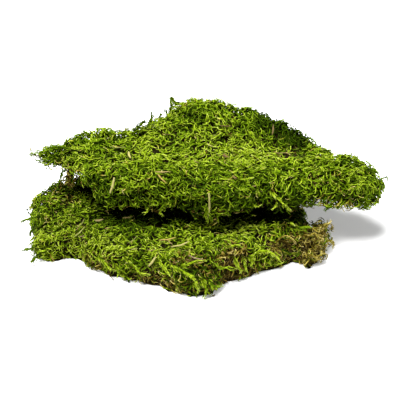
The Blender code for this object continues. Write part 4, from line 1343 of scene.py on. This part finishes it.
class LitterLook(bpy.types.PropertyGroup):
    """Colours of the dry litter, light and dark streaks for each kind."""

    straw_light: colour_value("Straw, light", "Light streaks of the straws", (0.305, 0.290, 0.095))
    straw_dark: colour_value("Straw, dark", "Dark streaks of the straws", (0.210, 0.190, 0.055))
    needle_light: colour_value("Needle, light", "Light streaks of the needles", (0.315, 0.250, 0.075))
    needle_dark: colour_value("Needle, dark", "Dark streaks of the needles", (0.150, 0.110, 0.030))
    stem_light: colour_value("Stem, light", "Light streaks of the orange stems", (0.37, 0.280, 0.070))
    stem_dark: colour_value("Stem, dark", "Dark streaks of the orange stems", (0.16, 0.105, 0.018))
    # the dead leaf's colours are darkened as painted shade: it lies in the shade under the lip
    leaf_light: colour_value("Dead leaf, light", "Light streaks of the dead leaf", (0.150, 0.125, 0.036))
    leaf_dark: colour_value("Dead leaf, dark", "Dark streaks of the dead leaf", (0.075, 0.057, 0.015))
    # darker needle and scale at the back: partly their own brown, partly painted shade on the shaded slope
    dull_light: colour_value("Dull needle, light", "Light streaks of the needle and scale at the back",
                             (0.140, 0.098, 0.025))
    dull_dark: colour_value("Dull needle, dark", "Dark streaks of the needle and scale at the back",
                            (0.068, 0.045, 0.010))
    fresh_light: colour_value("Fresh straw, light", "Light streaks of the greenish straw", (0.25, 0.27, 0.06))
    fresh_dark: colour_value("Fresh straw, dark", "Dark streaks of the greenish straw", (0.15, 0.17, 0.030))
    twig_light: colour_value("Twig, light", "Light streaks of the bark", (0.22, 0.165, 0.085))
    twig_dark: colour_value("Twig, dark", "Dark streaks of the bark", (0.08, 0.055, 0.025))


class StageLook(bpy.types.PropertyGroup):
    """The floor and the lights."""

    floor_colour: colour_value("Floor colour", "Colour of the floor", (0.72, 0.72, 0.72))
    light_power: power_value("Light power", "Power of the large soft light", 131)
    side_power: power_value("Side light power", "Power of the weak light from the right", 13)
    sky_light: bpy.props.FloatProperty(name="Sky light", description="Strength of the even light all round",
                                       default=0.05, min=0, max=5)


# --------------------------------------------------------------------------------------------------
# Operators


def finish_named(name, make):
    """The material of this name, made on first use."""
    return bpy.data.materials.get(name) or make()


def moss_material(look):
    """The one finish of all shoots, fibres and strands."""
    return finish_named("moss_green", lambda: moss_finish(look))


def thickness_under(skin):
    """Distance from every corner of a mat to the far side, straight in along its normal, up to 50 mm.

    A ray from each corner, started just inside, is met with every face: the face's plane gives the distance,
    and the three edge tests say whether the crossing lies in the face. The corners are taken in 40 batches.
    """
    a, b, c = (skin.corners[skin.triangles[:, k]] for k in range(3))
    facing = crosses(skin.corners, skin.triangles)
    result = np.full(len(skin.corners), 50 * MM)
    for chosen in np.array_split(np.arange(len(skin.corners)), 40):
        ray = -skin.normals[chosen]
        origin = skin.corners[chosen] + ray * 0.2 * MM
        slope = ray @ facing.T
        with np.errstate(divide="ignore", invalid="ignore"):
            distance = ((a * facing).sum(1)[None] - origin @ facing.T) / slope
            crossing = origin[:, None] + ray[:, None] * distance[..., None]
            within = slope > 0
            for p, q in ((a, b), (b, c), (c, a)):
                within &= (np.cross((q - p)[None], crossing - p[None]) * facing[None]).sum(-1) >= 0
        distance = np.where(within & (distance > 0), distance, np.inf)
        result[chosen] = np.minimum(result[chosen], distance.min(1))
    return result


def relaxed(corners, triangles, rounds):
    """Corners drawn half way to the middle of their neighbours this many times, which pulls thin locks in."""
    ends = np.concatenate([triangles[:, [0, 1]], triangles[:, [1, 2]], triangles[:, [2, 0]]])
    number = np.maximum(np.bincount(ends[:, 0], minlength=len(corners)), 1)[:, None]
    for _ in range(rounds):
        total = np.stack([np.bincount(ends[:, 0], corners[ends[:, 1], k], len(corners)) for k in range(3)], 1)
        corners = (corners + total / number) / 2
    return corners


def wall_facing(skin, chosen):
    """For every corner, the level part of the chosen faces' summed cross products, scaled to one."""
    total = facing_sums(skin.corners, skin.triangles[chosen])
    total[:, 2] = 0
    return unit(total)


class MOSS_OT_thatch(bpy.types.Operator):
    """Makes the dark thatch inside both mats"""

    bl_idname = "moss.thatch"
    bl_label = "Thatch"

    THIN_SHARE = 0.42  # deepest inset, as a share of the mat's thickness there
    ROUNDS = 10
    CUT_HEIGHT = 0.05 * MM  # corners below this are on the flat cut
    BASE_HEIGHT = 0.30 * MM
    RIM_INSET = 1.2 * MM

    def execute(self, context):
        look = context.scene.moss_look
        material = finish_named("moss_thatch", lambda: thatch_finish(look))
        for node, name in ((UPPER, "thatch_upper"), (LOWER, "thatch_lower")):
            skin = mats[node].skin
            inset = np.minimum(look.thatch_depth, self.THIN_SHARE * thickness_under(skin))
            corners = skin.corners - skin.normals * inset[:, None]
            corners = dented(relaxed(corners, skin.triangles, self.ROUNDS))
            on_cut = skin.corners[:, 2] < self.CUT_HEIGHT
            base = on_cut[skin.triangles].all(1)
            rim = skin.corners - wall_facing(skin, ~base) * self.RIM_INSET
            corners = np.where(on_cut[:, None], rim, corners)
            above = np.maximum(corners[:, 2], 2 * self.BASE_HEIGHT)
            corners[:, 2] = np.where(on_cut, self.BASE_HEIGHT, above)
            piece = add_piece(name, corners, skin.triangles, None, material, "moss", even=~base)
            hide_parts(node)
        return {"FINISHED"}


class MOSS_OT_shoots(bpy.types.Operator):
    """Grows the leafy shoots on both mats"""

    bl_idname = "moss.shoots"
    bl_label = "Leafy shoots"

    SEED = 11

    def execute(self, context):
        look = context.scene.moss_look
        material = moss_material(look)
        rng = np.random.default_rng(self.SEED)
        grown = []
        for node, name, count, pieces in ((UPPER, "shoots_upper", look.upper_shoots, 3),
                                          (LOWER, "shoots_lower", look.lower_shoots, 2)):
            batches = [grow_shoots(mats[node], number, rng, look, layer) for number, layer in (
                (count, TOP_LAYER), (count // 3, DEEP_LAYER), (int(count * look.stray_share), STRAY_LAYER))]
            grown += split_up(batches, pieces, name)
        for name, corners, faces, places in grown:
            add_piece(name, corners, faces, places, material, "moss")
        return {"FINISHED"}


def fibres_on_cut(skin, count, rng):
    """Batch of old stems and fibres that lie flat on the cut and end well within its outline.

    A fibre's heading turns evenly from end to end. It lies just over the ground, and its middle bows up by a
    third of its width. A coarse plan of the cut, less its outermost squares, says which fibres lie inside.
    """
    rings, dense = 7, 40
    start, _ = skin.scatter(dense * count, lambda middles, facing: (middles[:, 2] < 0.1 * MM) * 1.0, rng)
    square_of, size = floor_plan(start)
    plan = np.zeros(size, bool)
    plan[square_of(start)] = True
    inner = plan.copy()
    for step, axis in ((1, 0), (-1, 0), (1, 1), (-1, 1)):
        inner &= np.roll(plan, step, axis)
    start = start[::dense]
    number = len(start)
    t = np.linspace(0, 1, rings)
    length = rng.uniform(5, 17, number)[:, None] * MM
    bearing = rng.uniform(0, 2 * math.pi, number)[:, None] + rng.normal(0, 1.1, number)[:, None] * t
    radius = rng.choice([0.20, 0.27, 0.42], number, p=[0.55, 0.33, 0.12]) * MM
    steps = np.stack([np.cos(bearing), np.sin(bearing)], -1) * (length / (rings - 1))[..., None]
    level = start[:, None, :2] + np.cumsum(steps, 1)
    height = radius[:, None] * (1.15 + 0.6 * np.sin(math.pi * t)) + 0.02 * MM
    kept = inner[square_of(level)].all(1)
    lines = np.concatenate([level, height[..., None]], -1)[kept]
    shade = np.clip(rng.normal(0.19, 0.08, number), 0.05, 0.36)[kept]
    return lines, shoot_profile(rings, radius[kept], 0.5, 0.0), shade


class MOSS_OT_fibres(bpy.types.Operator):
    """Lays fine brown root fibres under the mats, on their rims and over the dead patches"""

    bl_idname = "moss.fibres"
    bl_label = "Root fibres"

    SEED = 23
    ON_CUT = 900
    LIGHTEST = 0.33

    def execute(self, context):
        look = context.scene.moss_look
        material = moss_material(look)
        rng = np.random.default_rng(self.SEED)
        for node, name in ((UPPER, "root_fibres_upper"), (LOWER, "root_fibres_lower")):
            mat = mats[node]
            lines, radii, shade = grow_shoots(mat, look.fibres, rng, look, ROOT_FIBRES, mat.fibre_density)
            brown = np.clip(rng.normal(0.17, 0.07, len(lines)), DRY_SHADES[0], self.LIGHTEST)
            shade = np.where(shade < self.LIGHTEST, shade, brown)
            batches = [(lines, radii, shade)]
            if mat.cover:
                batches.append(fibres_on_cut(mat.skin, self.ON_CUT, rng))
            add_piece(name, *tubes_of(batches), material, "moss")
        return {"FINISHED"}


class MOSS_OT_strands(bpy.types.Operator):
    """Hangs long leafy strands and loose threads on the edges of both mats"""

    bl_idname = "moss.strands"
    bl_label = "Long strands"

    SEED = 37

    def execute(self, context):
        look = context.scene.moss_look
        material = moss_material(look)
        rng = np.random.default_rng(self.SEED)
        for name, table in (("strands_upper", UPPER_STRANDS_MM), ("strands_lower", LOWER_STRANDS_MM)):
            batches = []
            for path, *rest in table:
                batches += leafy_strand(path, rng, *rest)
            add_piece(name, *tubes_of(batches), material, "moss")
        return {"FINISHED"}


def long_axis(node):
    """The two ends of a solid's longest direction, and its half width and half thickness.

    The directions come from the singular values of its corners, less their middle.
    """
    corners = node_corners(node)
    middle = (corners.min(0) + corners.max(0)) / 2
    axes = np.linalg.svd(corners - middle, full_matrices=False)[2]
    along = axes[0] * np.sign(axes[0][np.argmax(np.abs(axes[0]))])
    reach = (corners - middle) @ along
    wide, thin = (np.abs((corners - middle) @ axis).max() for axis in axes[1:])
    return middle + along * reach.min(), middle + along * reach.max(), min(wide, 3 * thin), thin


class MOSS_OT_litter(bpy.types.Operator):
    """Makes the dry straws, needles and scraps that have solids of their own"""

    bl_idname = "moss.litter"
    bl_label = "Dry litter"

    RINGS = 15
    FLAT_CUP = 0.3  # a piece with a deeper cup is as wide as its solid

    def execute(self, context):
        look = context.scene.moss_litter
        t = np.linspace(0, 1, self.RINGS)
        for node, (width, depth, bend, tapers, sides, ridge, cup, finish) in LITTER.items():
            kind, slot = LITTER_FINISHES[finish]
            light, dark = (tuple(getattr(look, f"{kind}_{tone}")) for tone in ("light", "dark"))
            name = f"{finish}_streaked"
            material = finish_named(name, lambda: litter_finish(name, light, dark))
            start, end, wide, thin = long_axis(node)
            shape = tapers[0] + (1 - tapers[0]) * smooth(t, 0, 0.3)
            shape = shape * (1 - (1 - tapers[1]) * smooth(t, 0.55, 1.0))
            shape = shape * (1 + 0.05 * np.sin(9 * t + len(node)))
            line = bent_line(start, end, bend * MM, 0.15 * bend * MM, self.RINGS)
            breadth = wide if cup > self.FLAT_CUP else thin
            rods = rod(line, breadth * width * shape, thin * depth * shape, sides, ridge, cup)
            piece = add_piece(f"{node}_dressed", *rods, material, slot)
            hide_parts(node)
        return {"FINISHED"}


class MOSS_OT_flecks(bpy.types.Operator):
    """Strews the smaller straws, needles and flakes that lie among the shoots"""

    bl_idname = "moss.flecks"
    bl_label = "Small flecks"

    RINGS = 9
    SIDES = 6
    KINDS = ((0.06, 0.04, 0.012), (0.15, 0.10, 0.03), (0.17, 0.14, 0.042), (0.31, 0.30, 0.095),
             (0.15, 0.17, 0.035))

    def execute(self, context):
        material = finish_named("litter_mixed", lambda: fleck_finish(self.KINDS))
        t = np.linspace(0, 1, self.RINGS)
        parts = []
        for start, end, width, depth, bend, kind in FLECKS_MM:
            line = bent_line(np.array(start) * MM, np.array(end) * MM, bend * MM, 0.2 * bend * MM, self.RINGS)
            shape = np.sin(math.pi * (0.12 + 0.78 * t)) ** 0.6
            band = ((kind + 0.15) / len(self.KINDS), (kind + 0.85) / len(self.KINDS))
            wide, thin = width / 2 * MM * shape, depth / 2 * MM * shape
            parts.append(rod(line, wide, thin, self.SIDES, 0.0, 0.2, band))
        add_piece("litter_flecks", *join_parts(parts), material, "pale_straw")
        return {"FINISHED"}


class MOSS_OT_stage(bpy.types.Operator):
    """Sets up the floor, the soft lights and the camera"""

    bl_idname = "moss.stage"
    bl_label = "Stage"

    CAMERA_ELEVATION = 33.0
    CAMERA_DISTANCE = 1.2
    CAMERA_TARGET = (-0.0032, -0.0045, 0.030)
    LENS_MM, SENSOR_MM = 150, 36
    NEAR_CUT = 0.05
    FLOOR_REACH = 4.0
    LAMP_PLACE = (-0.47, -0.19, 1.7)
    LAMP_SIZE = 1.4
    SIDE_PLACE = (1.0, -0.05, 0.42)
    SIDE_SIZE = 0.5

    def execute(self, context):
        look = context.scene.moss_stage
        scene = context.scene
        scene.view_settings.view_transform = "Standard"
        reach = self.FLOOR_REACH
        sheet = bpy.data.meshes.new("floor")
        sheet.from_pydata([(-reach, -reach, 0), (reach, -reach, 0), (reach, reach, 0), (-reach, reach, 0)],
                          [], [(0, 1, 2, 3)])
        floor = bpy.data.objects.new("floor", sheet)
        scene.collection.objects.link(floor)
        paper = Finish("floor_paper", roughness=0.9, specular=0.1).colour((*look.floor_colour, 1))
        floor.data.materials.append(paper.material)

        for name, power, size, place in (("soft_light", look.light_power, self.LAMP_SIZE, self.LAMP_PLACE),
                                         ("side_light", look.side_power, self.SIDE_SIZE, self.SIDE_PLACE)):
            lamp = bpy.data.lights.new(name, "AREA")
            lamp.shape = "DISK"
            lamp.size = size
            lamp.energy = power
            light = bpy.data.objects.new(name, lamp)
            light.location = place
            light.rotation_euler = Vector(place).to_track_quat("Z", "Y").to_euler()
            scene.collection.objects.link(light)

        world = bpy.data.worlds.new("even_light")
        world.use_nodes = True
        sky = world.node_tree.nodes["Background"].inputs
        sky["Color"].default_value = (1, 1, 1, 1)
        sky["Strength"].default_value = look.sky_light
        scene.world = world

        camera = bpy.data.objects.new("camera", bpy.data.cameras.new("camera"))
        camera.data.lens = self.LENS_MM
        camera.data.sensor_width = self.SENSOR_MM
        camera.data.clip_start = self.NEAR_CUT
        lift = math.radians(self.CAMERA_ELEVATION)
        x, y, z = self.CAMERA_TARGET
        back, up = self.CAMERA_DISTANCE * math.cos(lift), self.CAMERA_DISTANCE * math.sin(lift)
        camera.location = (x, y - back, z + up)
        camera.rotation_euler = (math.pi / 2 - lift, 0, 0)
        scene.collection.objects.link(camera)
        scene.camera = camera
        return {"FINISHED"}


class MOSS_PT_clump(bpy.types.Panel):
    """Lists the clump's pieces and their sizes and colours"""

    bl_idname = "MOSS_PT_clump"
    bl_label = "Moss clump"
    bl_space_type = "VIEW_3D"
    bl_region_type = "UI"
    bl_category = "Moss"

    def draw(self, context):
        layout = self.layout
        for group in (context.scene.moss_look, context.scene.moss_litter, context.scene.moss_stage):
            box = layout.box()
            for key in group.__annotations__:
                box.prop(group, key)
        for operator in OPERATORS:
            layout.operator(operator.bl_idname)


OPERATORS = (MOSS_OT_stage, MOSS_OT_thatch, MOSS_OT_shoots, MOSS_OT_fibres, MOSS_OT_strands, MOSS_OT_litter,
             MOSS_OT_flecks)
CLASSES = (MossLook, LitterLook, StageLook, *OPERATORS, MOSS_PT_clump)
mats = {}


def register():
    """Registers the classes and hangs their settings on the scene."""
    for cls in CLASSES:
        bpy.utils.register_class(cls)
    bpy.types.Scene.moss_look = bpy.props.PointerProperty(type=MossLook)
    bpy.types.Scene.moss_litter = bpy.props.PointerProperty(type=LitterLook)
    bpy.types.Scene.moss_stage = bpy.props.PointerProperty(type=StageLook)


def unregister():
    """Takes the settings and classes away again."""
    del bpy.types.Scene.moss_stage
    del bpy.types.Scene.moss_litter
    del bpy.types.Scene.moss_look
    for cls in reversed(CLASSES):
        bpy.utils.unregister_class(cls)


def main():
    """Builds every piece in order."""
    register()
    look = bpy.context.scene.moss_look
    rng = np.random.default_rng(FIELD_SEED)
    mats[UPPER] = Mat(UPPER, rng, look.upper_dead)
    mats[LOWER] = Mat(LOWER, rng, look.lower_dead, lower_cover(mats[UPPER].skin))
    bpy.ops.moss.stage()
    bpy.ops.moss.thatch()
    bpy.ops.moss.shoots()
    bpy.ops.moss.fibres()
    bpy.ops.moss.strands()
    bpy.ops.moss.litter()
    bpy.ops.moss.flecks()


if __name__ == "__main__":
    main()
